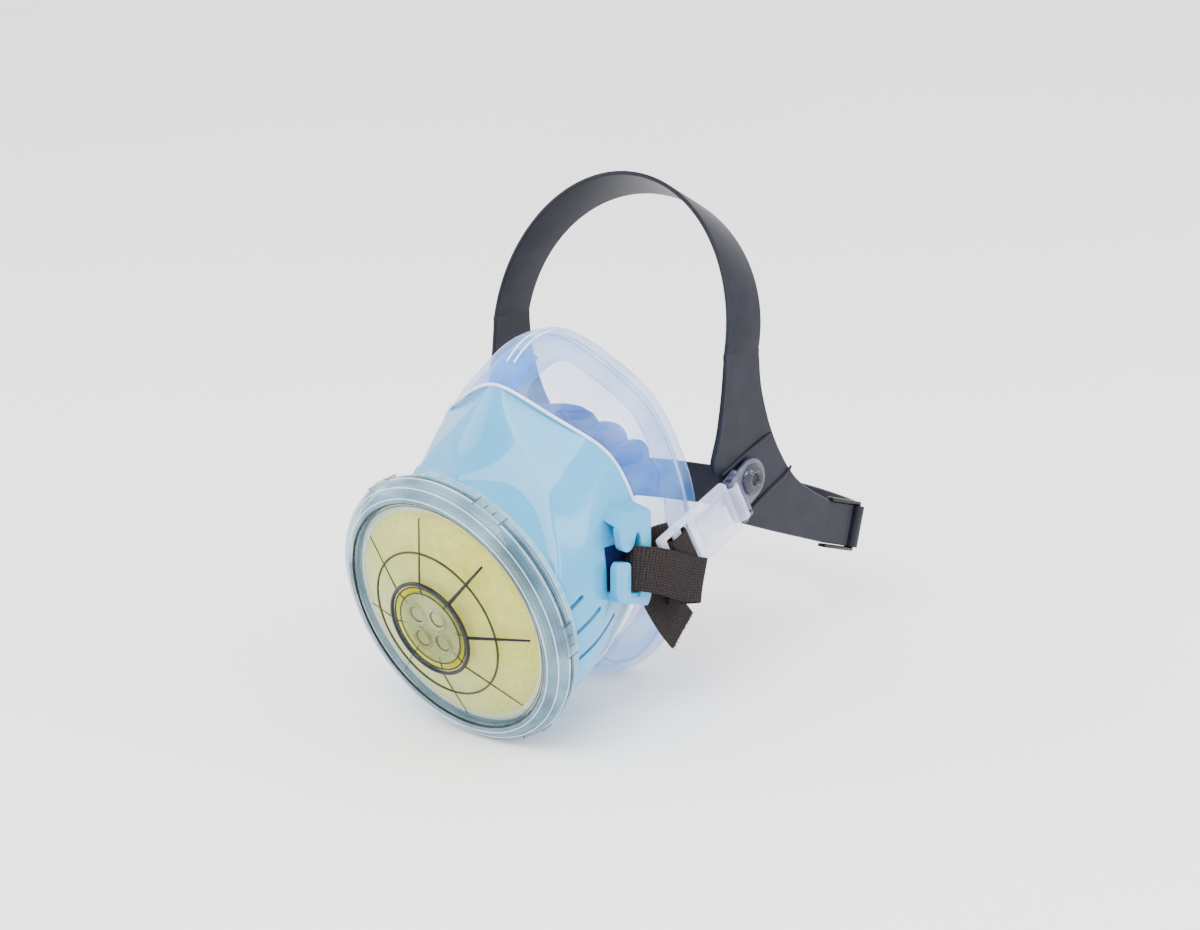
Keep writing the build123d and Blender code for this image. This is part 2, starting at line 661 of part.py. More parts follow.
def head_harness():
    """Head band and both side plates, moulded in one."""
    turns = (0, 15, 30, 50, 70, 90, 110, 130, 150, 165, 180)
    band = loft([band_section(t) for t in turns])
    plate = side_plate()
    return place_level(band + plate + mirror(plate, Plane.YZ))


def on_tail(shape):
    """Turn a piece to lie along the left tail of the harness."""
    return Pos(PLATE_X + PLATE_T / 2, *CLIP) * Rot(CLIP_SLOPE, 0, 0) * shape


def neck_clip():
    """Open frame on the tail of a side plate, with a bar for the neck strap."""
    thick, length, height = CLIP_SIZE
    inner_h = height - 2 * CLIP_BAR
    frame = Box(thick, length, height) - Pos(0, -CLIP_BAR, 0) * Box(10, length, inner_h)
    return on_tail(frame)


def neck_strap():
    """Rubber strap across the nape, bowed a little backwards, looped over each clip."""
    span = PLATE_X - 1.0
    arc = ThreePointArc((-span, NECK_Y, 0), (0, NECK_Y + NECK_BULGE, 0), (span, NECK_Y, 0))
    back = NECK_Y + BAND_T
    outer = ThreePointArc((-span, back, 0), (0, back + NECK_BULGE, 0), (span, back, 0))
    ends = [Line(arc @ 0, outer @ 0), Line(arc @ 1, outer @ 1)]
    face = make_face(Wire([arc.edge(), ends[1].edge(), outer.edge(), ends[0].edge()]))
    strap = Pos(0, 0, NECK_LOW) * extrude(face, NECK_WIDTH, dir=(0, 0, 1))
    thick, length, height = CLIP_SIZE
    sleeve = Box(thick + 2.4, CLIP_BAR + 2.6, height - 2 * CLIP_BAR - 0.6)
    sleeve -= Box(thick + 0.3, CLIP_BAR + 0.3, 30)
    sleeve = on_tail(Pos(0, (length - CLIP_BAR) / 2, 0) * sleeve)
    return place_level(strap + sleeve + mirror(sleeve, Plane.YZ))


MIRRORED = {"webbing": webbing, "buckle": buckle, "link": link, "snap_button": snap_button,
            "neck_clip": neck_clip}
PARTS = {
    "filter_cap": filter_cap, "cap_seal": cap_seal, "filter_pad": filter_pad,
    "filter_base": filter_base, "base_gasket": base_gasket, "neck_nut": neck_nut,
    "inhale_seat": lambda: valve_seat(NECK_IN_R - 0.02, SEAT_BACK),
    "inhale_flap": lambda: valve_flap(FLAP_R, SEAT_BACK),
    "exhale_seat_left": lambda: exhale_seat(1), "exhale_seat_right": lambda: exhale_seat(-1),
    "exhale_flap_left": lambda: exhale_flap(1), "exhale_flap_right": lambda: exhale_flap(-1),
    "front_shell": front_shell, "facepiece": facepiece, "clamp_frame": clamp_frame,
    "head_harness": head_harness, "neck_strap": neck_strap,
}
for pair, make in MIRRORED.items():
    PARTS[pair + "_left"] = lambda make=make: place_level(make())
    PARTS[pair + "_right"] = lambda make=make: mirror(place_level(make()), Plane.YZ)

os.makedirs("parts", exist_ok=True)
standing = {name: Rot(STAND_TILT, 0, 0) * build() for name, build in PARTS.items()}
box = Compound(list(standing.values())).bounding_box()
shift = Pos(0, -box.center().Y, -box.min.Z)
for name, shape in standing.items():
    export_step(shift * shape, f"parts/{name}.step")
    print(name, len(shape.solids()), round(shape.volume), shape.is_valid)
print("shift", -box.center().Y, -box.min.Z, "size", box.size)
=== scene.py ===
import json
import math

import bmesh
import bpy
import numpy as np
from mathutils import Matrix, Vector


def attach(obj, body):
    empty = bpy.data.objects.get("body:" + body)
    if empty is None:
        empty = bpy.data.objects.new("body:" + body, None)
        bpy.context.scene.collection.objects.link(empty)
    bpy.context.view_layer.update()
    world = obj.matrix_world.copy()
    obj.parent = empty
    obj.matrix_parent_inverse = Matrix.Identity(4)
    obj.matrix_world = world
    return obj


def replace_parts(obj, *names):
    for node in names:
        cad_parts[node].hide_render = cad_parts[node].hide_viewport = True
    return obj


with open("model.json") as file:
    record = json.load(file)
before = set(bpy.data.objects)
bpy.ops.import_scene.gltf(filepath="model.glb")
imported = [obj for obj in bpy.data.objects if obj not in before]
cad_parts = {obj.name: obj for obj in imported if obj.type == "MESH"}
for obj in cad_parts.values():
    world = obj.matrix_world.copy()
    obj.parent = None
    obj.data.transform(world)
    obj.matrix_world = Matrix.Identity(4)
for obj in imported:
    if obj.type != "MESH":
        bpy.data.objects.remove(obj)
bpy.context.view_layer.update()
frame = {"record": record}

# ---------------- frames
# MASK frame, mm: origin at the middle of the filter window, +Y back along the
# filter's axis, +Z up along the window. STRAP frame: the same, but upright.

MM = 0.001
PITCH = 17.0
WINDOW_HEIGHT = 47.0
JOINTS = {joint["name"]: joint for joint in frame["record"]["behaviour"]["joints"]}
FORWARD = Vector(JOINTS["cap_turn"]["axis"])
STAND_TILT = math.atan2(-FORWARD.z, -FORWARD.y)
MASK = (Matrix.Translation(JOINTS["cap_turn"]["pos_m"]) @ Matrix.Rotation(STAND_TILT, 4, "X")
        @ Matrix.Scale(MM, 4))
STRAP = MASK @ Matrix.Rotation(math.radians(-PITCH), 4, "X") @ Matrix.Translation((0, 0, -WINDOW_HEIGHT))

# ---------------- driving sizes, mm

# filter, shell and facepiece, MASK frame; halves are (x, z) outlines of the left side
WINDOW_R = 43.4
CAP_R = 50.0
SHELL_R = 46.0
SHELL_FRONT = 13.0
COLLAR_BACK = 24.0
SHELL_BACK = 56.0
SHELL_WALL = 2.2
RIM_TOP_DEPTH = 46.0
RIM_SADDLE_R = 98.0
SHELL_HALF = [(0, 74), (10.5, 70), (23.6, 59.1), (34.4, 48.7), (40.3, 38.3), (43, 22),
              (41.5, 5), (35.3, -12), (26.5, -26.7), (15.2, -42.5), (0, -52)]
MID_HALF = [(0, 73.5), (11, 70.5), (22.5, 62), (32.5, 53.5), (40, 42), (44.5, 22),
            (43.5, 0), (37.5, -20), (28.5, -36), (16.5, -52), (0, -60)]
FACE_HALF = [(0, 69), (11, 66.5), (21.5, 60.5), (31, 53), (38, 42), (43, 22),
             (43.5, 0), (38, -22), (29.5, -39), (17.5, -56), (0, -65)]
FACE_BACK = 85.0
FACE_CURVE_R = 360.0
FACE_CURVE_Z = 25.0
SKIN = 2.2
LIP_WIDTH = 13.0
PER_SPAN = 12

NOSE_IN_R = 15.8
NOSE_OUT_R = 17.2
CONE_R = 17.6
CONE_DEPTH = 8.1
MID_RIB_R = 27.2
CAP_BORE_R = 46.9
BOSS_R = 13.7
PETAL_PLACE_R = 6.6
PETAL_R = 3.6
GRIP_COUNT = 6
GRIP_START = -9.0
GRIP_ANGLE = 14.0
# thickness and reach of each radial rib, from the wearer's left turning up
RIBS = [(0.62, 39.5), (0.68, 36.5), (0.4, 39.0), (0.3, 38.0),
        (0.3, 33.0), (0.28, 38.0), (0.28, 38.0), (0.32, 40.0)]

SHELL_STEPS = 46
LINING_STEPS = 14
NECK_HOLE_R = 14.2
FRONT_WALL_R = 30.0
# narrow light facets each side of the shell's middle, as three points each
FACET_CUT = 0.12
FACETS = [((5.5, 44.0, 63.6), (16.0, 38.7, 53.2), (20.0, 46.5, 57.9)),
          ((14.5, 36.7, 52.3), (17.0, 21.5, 42.1), (27.3, 25.5, 37.4))]
# rear end of each vent slot: depth and height
VENT_SLOTS = [(20.0, 6.0), (27.0, -2.5), (37.0, -11.5)]
SLOT_R = 0.85
SLOT_RISE = math.radians(10.0)
# rear end of each clamp lobe: depth and height
LOBES = [(57.0, 50.5), (63.0, 42.5), (69.0, 33.5), (70.5, 24.0)]
LOBE_R = 3.9
LOBE_ROOT = 51.0
LOBE_UNDER = 7.0
LOBE_FLATNESS = 0.75

# hook outlines, (y, z) in the STRAP frame
HOOK_PLATE = [(36.0, 85.0), (47.4, 84.0), (48.2, 54.2), (46.2, 50.2), (32.2, 54.0), (30.0, 57.2),
              (30.0, 66.6), (31.4, 68.2), (36.4, 67.4), (37.4, 66.2), (37.4, 55.2), (42.4, 54.4),
              (42.4, 75.2), (40.4, 77.7), (39.0, 73.2), (37.4, 71.4), (35.0, 71.0), (32.6, 72.6),
              (31.2, 79.4)]
HOOD_OUTER = [(31.2, 79.4), (36.0, 85.0), (47.4, 84.0), (48.0, 80.4), (35.0, 80.0)]
HOOD_INNER = [(32.4, 82.0), (33.6, 85.2), (42.6, 88.8), (44.4, 83.6), (42.0, 79.4)]
HOOK_FOOT = [(32.2, 54.0), (46.2, 50.2), (48.2, 54.2), (48.2, 55.2), (32.2, 57.0)]
HOOK_OUT_X = 50.0
HOOK_IN_X = 47.0
HOOD_IN_X = 38.0
FOOT_IN_X = 36.0
# where the painted shade panel behind each hook lies, (y, z) in the STRAP frame
SHADE_PANEL_Y = (31.0, 43.0)
SHADE_PANEL_Z = (57.4, 72.4)

# harness and straps, STRAP frame; pairs are (y, z)
BUTTON = (92.0, 87.3)
LINK_X = 56.4
BAR_X = 58.9
STRAP_SLOPE = math.radians(31.0)
LINK_LENGTH = 11.4
BUCKLE_LEAN = math.radians(11.0)
PLATE_X = 53.0
PLATE_T = 2.2
BUTTON_HOLE_R = 2.7
BAND_X = 54.0
BAND_FOOT = (90.0, 132.0)
BAND_RISE = (12.0, 52.0)
BAND_TWIST = math.radians(29.0)
BAND_SETTLE = 0.12
BAND_STEPS = 72
CLIP = (148.5, 59.5)
CLIP_SLOPE = math.radians(-16.0)
CLIP_HALF_LENGTH = 8.9
CLIP_HALF_WIDTH = 9.2
CLIP_BAR = 1.3
CLIP_HALF_T = 1.7
NAPE_X = 52.6
NAPE_FOOT = (158.2, 58.6)
NAPE_BOW = 10.0
NAPE_STEPS = 40
WEB_T = 1.25
LINK_HALF = 9.1
LINK_CHEEK_IN = 7.6
TONGUE_HALF = 7.25
TONGUE_T = 1.6


# ---------------- materials

def shader(name):
    """A new material, its Principled shader, and helpers that add nodes and link sockets."""
    mat = bpy.data.materials.new(name)
    mat.use_nodes = True
    tree = mat.node_tree
    bsdf = tree.nodes["Principled BSDF"]

    def add(kind, **values):
        node = tree.nodes.new("ShaderNode" + kind)
        for key, value in values.items():
            if key in node.inputs:
                node.inputs[key].default_value = value
            else:
                setattr(node, key, value)
        return node
    return mat, bsdf, add, tree.links.new


def plastic(name, low, high, rough, spot=300.0, bump=0.02, bump_scale=900.0, shine=0.5, **sockets):
    """Moulded plastic or rubber: soft colour drift and a fine moulded grain."""
    mat, bsdf, add, link = shader(name)
    place = add("TexCoord")
    drift = add("TexNoise", Scale=spot, Detail=3.0)
    ramp = add("ValToRGB")
    ramp.color_ramp.elements[0].position = 0.35
    ramp.color_ramp.elements[0].color = (*low, 1)
    ramp.color_ramp.elements[1].position = 0.65
    ramp.color_ramp.elements[1].color = (*high, 1)
    grain = add("TexNoise", Scale=bump_scale, Detail=4.0)
    dent = add("Bump", Strength=bump, Distance=0.0003)
    link(place.outputs["Object"], drift.inputs["Vector"])
    link(place.outputs["Object"], grain.inputs["Vector"])
    link(drift.outputs["Fac"], ramp.inputs["Fac"])
    link(ramp.outputs["Color"], bsdf.inputs["Base Color"])
    link(grain.outputs["Fac"], dent.inputs["Height"])
    link(dent.outputs["Normal"], bsdf.inputs["Normal"])
    bsdf.inputs["Roughness"].default_value = rough
    bsdf.inputs["Specular IOR Level"].default_value = shine
    for key, value in sockets.items():
        bsdf.inputs[key.replace("_", " ")].default_value = value
    return mat


def clear(name, low, high, facing, edge, rough, blend=0.35, **sockets):
    """See-through plastic or silicone that grows denser where it is seen edge on."""
    mat = plastic(name, low, high, rough, spot=60.0, bump=0.01, **sockets)
    tree = mat.node_tree
    bsdf = tree.nodes["Principled BSDF"]
    layer = tree.nodes.new("ShaderNodeLayerWeight")
    layer.inputs["Blend"].default_value = blend
    reach = tree.nodes.new("ShaderNodeMapRange")
    reach.inputs["To Min"].default_value = facing
    reach.inputs["To Max"].default_value = edge
    tree.links.new(layer.outputs["Facing"], reach.inputs["Value"])
    tree.links.new(reach.outputs["Result"], bsdf.inputs["Alpha"])
    return mat


def woven(name, dark, light, pitch=0.9):
    """Woven elastic: crossed ribs from the strip's own UVs, which are in millimetres."""
    mat, bsdf, add, link = shader(name)
    place = add("TexCoord")
    across = add("TexWave", Scale=2 * math.pi / pitch / 20, Distortion=0.6)
    along = add("TexWave", Scale=2 * math.pi / (pitch * 1.3) / 20, Distortion=0.6)
    along.bands_direction = "Y"
    fuzz = add("TexNoise", Scale=0.9, Detail=6.0, Roughness=0.7)
    both = add("Math", operation="MULTIPLY")
    more = add("Math", operation="MULTIPLY_ADD")
    more.inputs[1].default_value = 0.6
    ramp = add("ValToRGB")
    ramp.color_ramp.elements[0].position = 0.2
    ramp.color_ramp.elements[0].color = (*dark, 1)
    ramp.color_ramp.elements[1].position = 0.95
    ramp.color_ramp.elements[1].color = (*light, 1)
    dent = add("Bump", Strength=0.7, Distance=0.0004)
    for node in (across, along, fuzz):
        link(place.outputs["UV"], node.inputs["Vector"])
    link(across.outputs["Fac"], both.inputs[0])
    link(along.outputs["Fac"], both.inputs[1])
    link(both.outputs["Value"], more.inputs[0])
    link(fuzz.outputs["Fac"], more.inputs[2])
    link(more.outputs["Value"], ramp.inputs["Fac"])
    link(more.outputs["Value"], dent.inputs["Height"])
    link(ramp.outputs["Color"], bsdf.inputs["Base Color"])
    link(dent.outputs["Normal"], bsdf.inputs["Normal"])
    bsdf.inputs["Roughness"].default_value = 0.9
    bsdf.inputs["Specular IOR Level"].default_value = 0.1
    return mat


FELT = {"spot": 500.0, "bump": 0.5, "bump_scale": 2500.0, "shine": 0.1}
MAT = {
    "cap": clear("cap_clear", (0.2, 0.38, 0.5), (0.35, 0.55, 0.66), 0.03, 0.35, 0.05, 0.25, IOR=1.5,
                 shine=0.3),
    "cap_rim": clear("cap_rim_clear", (0.06, 0.15, 0.22), (0.22, 0.4, 0.52), 0.4, 0.88, 0.06, 0.35, IOR=1.5),
    "boss": clear("cap_boss_clear", (0.12, 0.16, 0.06), (0.34, 0.4, 0.2), 0.22, 0.8, 0.08, 0.4, IOR=1.5),
    # near-black beads on the cap's clear ribs and edges: the ribs and edges are real, and their dark colour
    # is painted shade where the clear plastic bends the light; the button's pit uses the same dark
    "line": plastic("cap_edge_line", (0.003, 0.004, 0.005), (0.009, 0.011, 0.013), 0.2, shine=0.25),
    "line_soft": clear("cap_rib", (0.01, 0.013, 0.01), (0.03, 0.035, 0.025), 0.75, 0.97, 0.2, shine=0.2),
    # painted highlights: the pale rings on the cap's rim
    "line_pale": clear("cap_glint", (0.6, 0.75, 0.85), (0.85, 0.92, 0.97), 0.5, 0.85, 0.1),
    "pad": plastic("filter_felt", (0.5, 0.46, 0.02), (0.62, 0.58, 0.05), 0.95, **FELT),
    "pad_edge": plastic("filter_felt_edge", (0.5, 0.56, 0.38), (0.6, 0.65, 0.45), 0.95,
                        **FELT | {"bump": 0.4}),
    "pad_deep": plastic("filter_felt_deep", (0.5, 0.45, 0.002), (0.6, 0.52, 0.008), 0.95, **FELT),
    "base": plastic("base_plastic", (0.1, 0.28, 0.4), (0.18, 0.36, 0.48), 0.3),
    "shell": plastic("shell_plastic", (0.03, 0.29, 0.54), (0.045, 0.33, 0.58), 0.2, spot=25.0,
                     Coat_Weight=0.25, shine=0.35),
    # painted shade: the dark panel laid on the shell behind each hook
    "shadow": plastic("painted_shade_panel", (0.002, 0.005, 0.04), (0.004, 0.01, 0.06), 0.7, shine=0.1),
    "rim": clear("rim_clear", (0.6, 0.75, 0.95), (0.8, 0.9, 1.0), 0.75, 0.95, 0.12),
    "skin": clear("silicone", (0.08, 0.28, 0.8), (0.3, 0.55, 0.93), 0.13, 0.6, 0.14, 0.45, IOR=1.4),
    "skin_deep": clear("silicone_deep", (0.002, 0.13, 0.66), (0.01, 0.2, 0.74), 0.6, 0.9, 0.15),
    "lobe": plastic("clamp_plastic", (0.001, 0.006, 0.2), (0.003, 0.015, 0.28), 0.3, spot=80.0, shine=0.4),
    "seal": plastic("seal_rubber", (0.008, 0.008, 0.012), (0.015, 0.015, 0.02), 0.6, shine=0.2),
    "valve": plastic("valve_silicone", (0.5, 0.5, 0.48), (0.6, 0.6, 0.58), 0.5),
    "web": woven("elastic", (0.002, 0.0015, 0.0015), (0.03, 0.024, 0.024)),
    "buckle": clear("buckle_clear", (0.5, 0.55, 0.78), (0.8, 0.83, 0.95), 0.3, 0.9, 0.06, 0.5),
    "link": plastic("link_plastic", (0.03, 0.033, 0.07), (0.06, 0.065, 0.12), 0.2),
    "button": clear("button_clear", (0.02, 0.02, 0.035), (0.05, 0.05, 0.075), 0.5, 0.9, 0.06),
    "harness": plastic("harness_rubber", (0.0045, 0.0052, 0.011), (0.008, 0.009, 0.017), 0.42, spot=120.0,
                       bump=0.12, bump_scale=1800.0, shine=0.18),
    "clip": plastic("clip_plastic", (0.001, 0.001, 0.0015), (0.002, 0.002, 0.003), 0.3, shine=0.3),
}


# ---------------- mesh helpers

# the body that each slot's pieces ride on, where it isn't the mask
BODY = {"cap": "filter_cap", "harness": "harness", "clip": "harness"}


def add_object(name, data):
    thing = bpy.data.objects.new(name, data)
    bpy.context.scene.collection.objects.link(thing)
    return thing


def new_mesh(name, verts, faces, space, uvs=None):
    """A mesh from points in millimetres, with doubles merged and normals outwards."""
    mesh = bpy.data.meshes.new(name)
    mesh.from_pydata([space @ Vector(v) for v in verts], [], faces)
    if uvs is not None:
        layer = mesh.uv_layers.new(name="UVMap")
        for loop in mesh.loops:
            layer.data[loop.index].uv = uvs[loop.vertex_index]
    bm = bmesh.new()
    bm.from_mesh(mesh)
    bmesh.ops.remove_doubles(bm, verts=bm.verts, dist=1e-6)
    bmesh.ops.recalc_face_normals(bm, faces=bm.faces)
    bm.to_mesh(mesh)
    bm.free()
    return mesh


def new_piece(name, mesh, slot):
    """An object that rides on its slot's body."""
    piece = add_object(name, mesh)
    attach(piece, BODY.get(slot, "mask"))
    return piece


def make(name, verts, faces, mat, slot, space=MASK, angle=32.0, uvs=None):
    """A piece from points in millimetres."""
    mesh = new_mesh(name, verts, faces, space, uvs)
    shade(mesh, angle)
    mesh.materials.append(MAT[mat])
    return new_piece(name, mesh, slot)


def shade(mesh, angle=32.0):
    for face in mesh.polygons:
        face.use_smooth = True
    mesh.set_sharp_from_angle(angle=math.radians(angle))


def bake_modifiers(piece, angle=32.0):
    """Apply a piece's modifiers to its mesh."""
    graph = bpy.context.evaluated_depsgraph_get()
    graph.update()
    mesh = bpy.data.meshes.new_from_object(piece.evaluated_get(graph))
    piece.modifiers.clear()
    piece.data = mesh
    shade(mesh, angle)


def bevel(piece, width, segments=2, angle=35.0):
    """Round a piece's sharp edges, width in millimetres."""
    mod = piece.modifiers.new("bevel", "BEVEL")
    mod.width = width * MM
    mod.segments = segments
    mod.limit_method = "ANGLE"
    mod.angle_limit = math.radians(angle)
    bake_modifiers(piece, 50.0)


def cut(piece, cutters):
    """Cut away a list of (points, faces, space) solids."""
    for verts, faces, space in cutters:
        mesh = new_mesh("cutter", verts, faces, space)
        tool = add_object("cutter", mesh)
        mod = piece.modifiers.new("cut", "BOOLEAN")
        mod.operation = "DIFFERENCE"
        mod.solver = "EXACT"
        mod.object = tool
        bake_modifiers(piece)
        bpy.data.objects.remove(tool)
        bpy.data.meshes.remove(mesh)


def box_solid(low, high, space):
    """Points and faces of a box, for cut()."""
    (a, b, c), (d, e, f) = low, high
    verts = [(a, b, c), (d, b, c), (d, e, c), (a, e, c), (a, b, f), (d, b, f), (d, e, f), (a, e, f)]
    faces = [(0, 3, 2, 1), (4, 5, 6, 7), (0, 1, 5, 4), (1, 2, 6, 5), (2, 3, 7, 6), (3, 0, 4, 7)]
    return verts, faces, space


def turns(count):
    """Equal angles all the way round."""
    return [2 * math.pi * k / count for k in range(count)]


def rounded(points, radius, steps=4):
    """A closed 2-D outline with its corners rounded."""
    out = []
    count = len(points)
    for i in range(count):
        before, corner, after = (Vector(points[(i + step) % count]) for step in (-1, 0, 1))
        one, two = before - corner, after - corner
        reach = min(radius, one.length * 0.45, two.length * 0.45)
        start = corner + one.normalized() * reach
        end = corner + two.normalized() * reach
        for k in range(steps + 1):
            t = k / steps
            out.append(tuple(start * (1 - t) ** 2 + corner * 2 * t * (1 - t) + end * t ** 2))
    return out


def lathe(name, profile, mat, slot, segments=160, angle=32.0, space=MASK):
    """Turn a closed (radius, depth) outline about the filter's axis."""
    verts, faces = [], []
    count = len(profile)
    for turn in turns(segments):
        verts += [(r * math.cos(turn), d, r * math.sin(turn)) for r, d in profile]
    for s in range(segments):
        here, there = s * count, (s + 1) % segments * count
        for k in range(count):
            n = (k + 1) % count
            faces.append((here + k, here + n, there + n, there + k))
    return make(name, verts, faces, mat, slot, space, angle)


def loft(rings, closed=True, caps=True):
    """Points and faces through rings of points; closed joins each ring's ends."""
    verts = [tuple(p) for ring in rings for p in ring]
    count = len(rings[0])
    faces = []
    for r in range(len(rings) - 1):
        for k in range(count if closed else count - 1):
            n = (k + 1) % count
            faces.append((r * count + k, r * count + n, (r + 1) * count + n, (r + 1) * count + k))
    if caps:
        faces.append(tuple(range(count)))
        faces.append(tuple(range((len(rings) - 1) * count, len(rings) * count)))
    return verts, faces


def lofted(name, rings, mat, slot, space=MASK, angle=32.0, closed=True, caps=True):
    """A mesh object through rings of points."""
    return make(name, *loft(rings, closed, caps), mat, slot, space, angle)


def smooth_path(points, per=10, closed=False):
    """Points on a Catmull-Rom curve through some points."""
    pts = [Vector(p) for p in points]
    count = len(pts)
    out = []
    spans = count if closed else count - 1
    for i in range(spans):
        p1, p2 = pts[i], pts[(i + 1) % count]
        p0 = pts[i - 1] if closed or i > 0 else p1 * 2 - p2
        p3 = pts[(i + 2) % count] if closed or i + 2 < count else p2 * 2 - p1
        for k in range(per):
            t = k / per
            out.append(0.5 * (p1 * 2 + (p2 - p0) * t + (p0 * 2 - p1 * 5 + p2 * 4 - p3) * t ** 2
                              + (p1 * 3 - p0 - p2 * 3 + p3) * t ** 3))
    if not closed:
        out.append(pts[-1])
    return out


def tube(name, path, radius, mat, slot, space=MASK, closed=False, sides=10):
    """A round bead along a path; radius may be a function of the share along it."""
    rings = []
    count = len(path)
    up = Vector((0.3, 0.2, 0.93))
    for i, p in enumerate(path):
        ahead = path[(i + 1) % count] if closed or i + 1 < count else p
        behind = path[i - 1] if closed or i > 0 else p
        run = (ahead - behind).normalized()
        side = run.cross(up).normalized()
        up = side.cross(run).normalized()
        size = radius(i / (count - 1)) if callable(radius) else radius
        rings.append([p + (side * math.cos(a) + up * math.sin(a)) * size for a in turns(sides)])
    if closed:
        rings.append(rings[0])
    return lofted(name, rings, mat, slot, space, 50.0, caps=not closed)


def strap(name, stations, width, thick, mat, slot, space=STRAP, edge=0.45):
    """A flat strip with rounded edges through (centre, across, outward) stations."""
    corner = rounded([(-width / 2, -thick / 2), (width / 2, -thick / 2), (width / 2, thick / 2),
                      (-width / 2, thick / 2)], edge, 3)
    rings, uvs, along = [], [], 0.0
    last = stations[0][0]
    for centre, across, outward in stations:
        along += (centre - last).length
        last = centre
        rings.append([centre + across * u + outward * v for u, v in corner])
        uvs += [(u, along) for u, v in corner]
    return make(name, *loft(rings), mat, slot, space, 50.0, uvs)


def prism(name, outline, x0, x1, mat, slot, round_by):
    """An outline of (y, z) points made solid from x0 to x1, with rounded edges."""
    piece = lofted(name, [[(x, y, z) for y, z in outline] for x in (x0, x1)], mat, slot, STRAP)
    bevel(piece, round_by)
    return piece


def both(maker, stem, slot, node=None, sides=("_left", "_right")):
    """Make a left-hand piece and its mirror image about X = 0, and let each stand for its side's CAD node."""
    left = maker(stem + "_l")
    mesh = left.data.copy()
    mesh.transform(Matrix.Scale(-1, 4, (1, 0, 0)))
    mesh.flip_normals()
    right = new_piece(stem + "_r", mesh, slot)
    if node:
        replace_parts(left, node + sides[0])
        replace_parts(right, node + sides[1])


# for both(), where one CAD node holds both sides
ONE_NODE = ("", "")


# ---------------- shell surfaces

def closed_half(half):
    """The whole loop from its left half, top to bottom."""
    return np.array(list(half) + [(-x, z) for x, z in reversed(half[1:-1])], float)


def spline_loop(points, per):
    """Sample a smooth closed curve through points, the same number in each span."""
    count = len(points)
    grid = np.zeros((count, count))
    for i in range(count):
        grid[i, i - 1] += 1
        grid[i, i] += 4
        grid[i, (i + 1) % count] += 1
    slopes = np.linalg.solve(grid, 3 * (np.roll(points, -1, 0) - np.roll(points, 1, 0)))
    t = np.arange(per)[:, None] / per
    out = []
    for i in range(count):
        n = (i + 1) % count
        out.append((2 * t ** 3 - 3 * t ** 2 + 1) * points[i] + (t ** 3 - 2 * t ** 2 + t) * slopes[i]
                   + (3 * t ** 2 - 2 * t ** 3) * points[n] + (t ** 3 - t ** 2) * slopes[n])
    return np.concatenate(out)


def round_half(radius):
    """A round outline with its points at the same turns as the shell's."""
    return [(radius * x / math.hypot(x, z), radius * z / math.hypot(x, z)) for x, z in SHELL_HALF]


def shell_half(depth):
    """The shell's outline between its collar and its back."""
    share = (depth - COLLAR_BACK) / (SHELL_BACK - COLLAR_BACK)
    return [(a + (c - a) * share, b + (d - b) * share)
            for (a, b), (c, d) in zip(round_half(SHELL_R), SHELL_HALF)]


SHELL_KNOTS = [(SHELL_FRONT, round_half(SHELL_R)), (COLLAR_BACK, round_half(SHELL_R)),
               (38.0, shell_half(38.0)), (SHELL_BACK, SHELL_HALF)]
SKIN_KNOTS = [(44.0, shell_half(44.0)), (65.0, MID_HALF), (86.0, FACE_HALF)]


class Surface:
    """A flared surface through outlines at several depths."""

    def __init__(self, knots):
        self.depths = np.array([d for d, half in knots])
        self.loops = np.array([spline_loop(closed_half(half), PER_SPAN) for d, half in knots])
        count = len(knots)
        step = np.diff(self.depths)
        grid = np.zeros((count, count))
        right = np.zeros((count,) + self.loops.shape[1:])
        grid[0, 0] = grid[-1, -1] = 1
        for i in range(1, count - 1):
            grid[i, i - 1:i + 2] = step[i - 1], 2 * (step[i - 1] + step[i]), step[i]
            right[i] = 6 * ((self.loops[i + 1] - self.loops[i]) / step[i]
                            - (self.loops[i] - self.loops[i - 1]) / step[i - 1])
        self.bends = np.linalg.solve(grid, right.reshape(count, -1)).reshape(right.shape)

    def at(self, depth, inset=0.0):
        """Loop of (x, z) at a depth for each point, moved inwards."""
        depth = np.broadcast_to(depth, (self.loops.shape[1],))
        k = np.clip(np.searchsorted(self.depths, depth) - 1, 0, len(self.depths) - 2)
        rows = np.arange(len(depth))
        h = (self.depths[k + 1] - self.depths[k])[:, None]
        a = (self.depths[k + 1] - depth)[:, None] / h
        b = 1 - a
        loop = (a * self.loops[k, rows] + b * self.loops[k + 1, rows]
                + ((a ** 3 - a) * self.bends[k, rows] + (b ** 3 - b) * self.bends[k + 1, rows]) * h ** 2 / 6)
        if np.any(inset):
            run = np.roll(loop, -1, 0) - np.roll(loop, 1, 0)
            run /= np.linalg.norm(run, axis=1)[:, None]
            loop = loop + np.stack([run[:, 1], -run[:, 0]], 1) * inset
        return loop

    def ring(self, depth, inset=0.0):
        depth = np.broadcast_to(depth, (self.loops.shape[1],))
        loop = self.at(depth, inset)
        return np.stack([loop[:, 0], depth, loop[:, 1]], 1)


SHELL = Surface(SHELL_KNOTS)
FACE = Surface(SKIN_KNOTS)


def rim_depth(surface, beyond=0.0):
    """Depth of the shell's curved rear rim for each point of the loop."""
    depth = np.full(surface.loops.shape[1], 50.0)
    for _ in range(12):
        x = surface.at(depth)[:, 0]
        depth = RIM_TOP_DEPTH + RIM_SADDLE_R - np.sqrt(RIM_SADDLE_R ** 2 - x ** 2) + beyond
    return depth


def face_depth():
    """Depth of the facepiece's rear edge for each point of the loop."""
    depth = np.full(FACE.loops.shape[1], 80.0)
    for _ in range(12):
        z = FACE.at(depth)[:, 1]
        depth = FACE_BACK - FACE_CURVE_R + np.sqrt(FACE_CURVE_R ** 2 - (z - FACE_CURVE_Z) ** 2)
    return depth


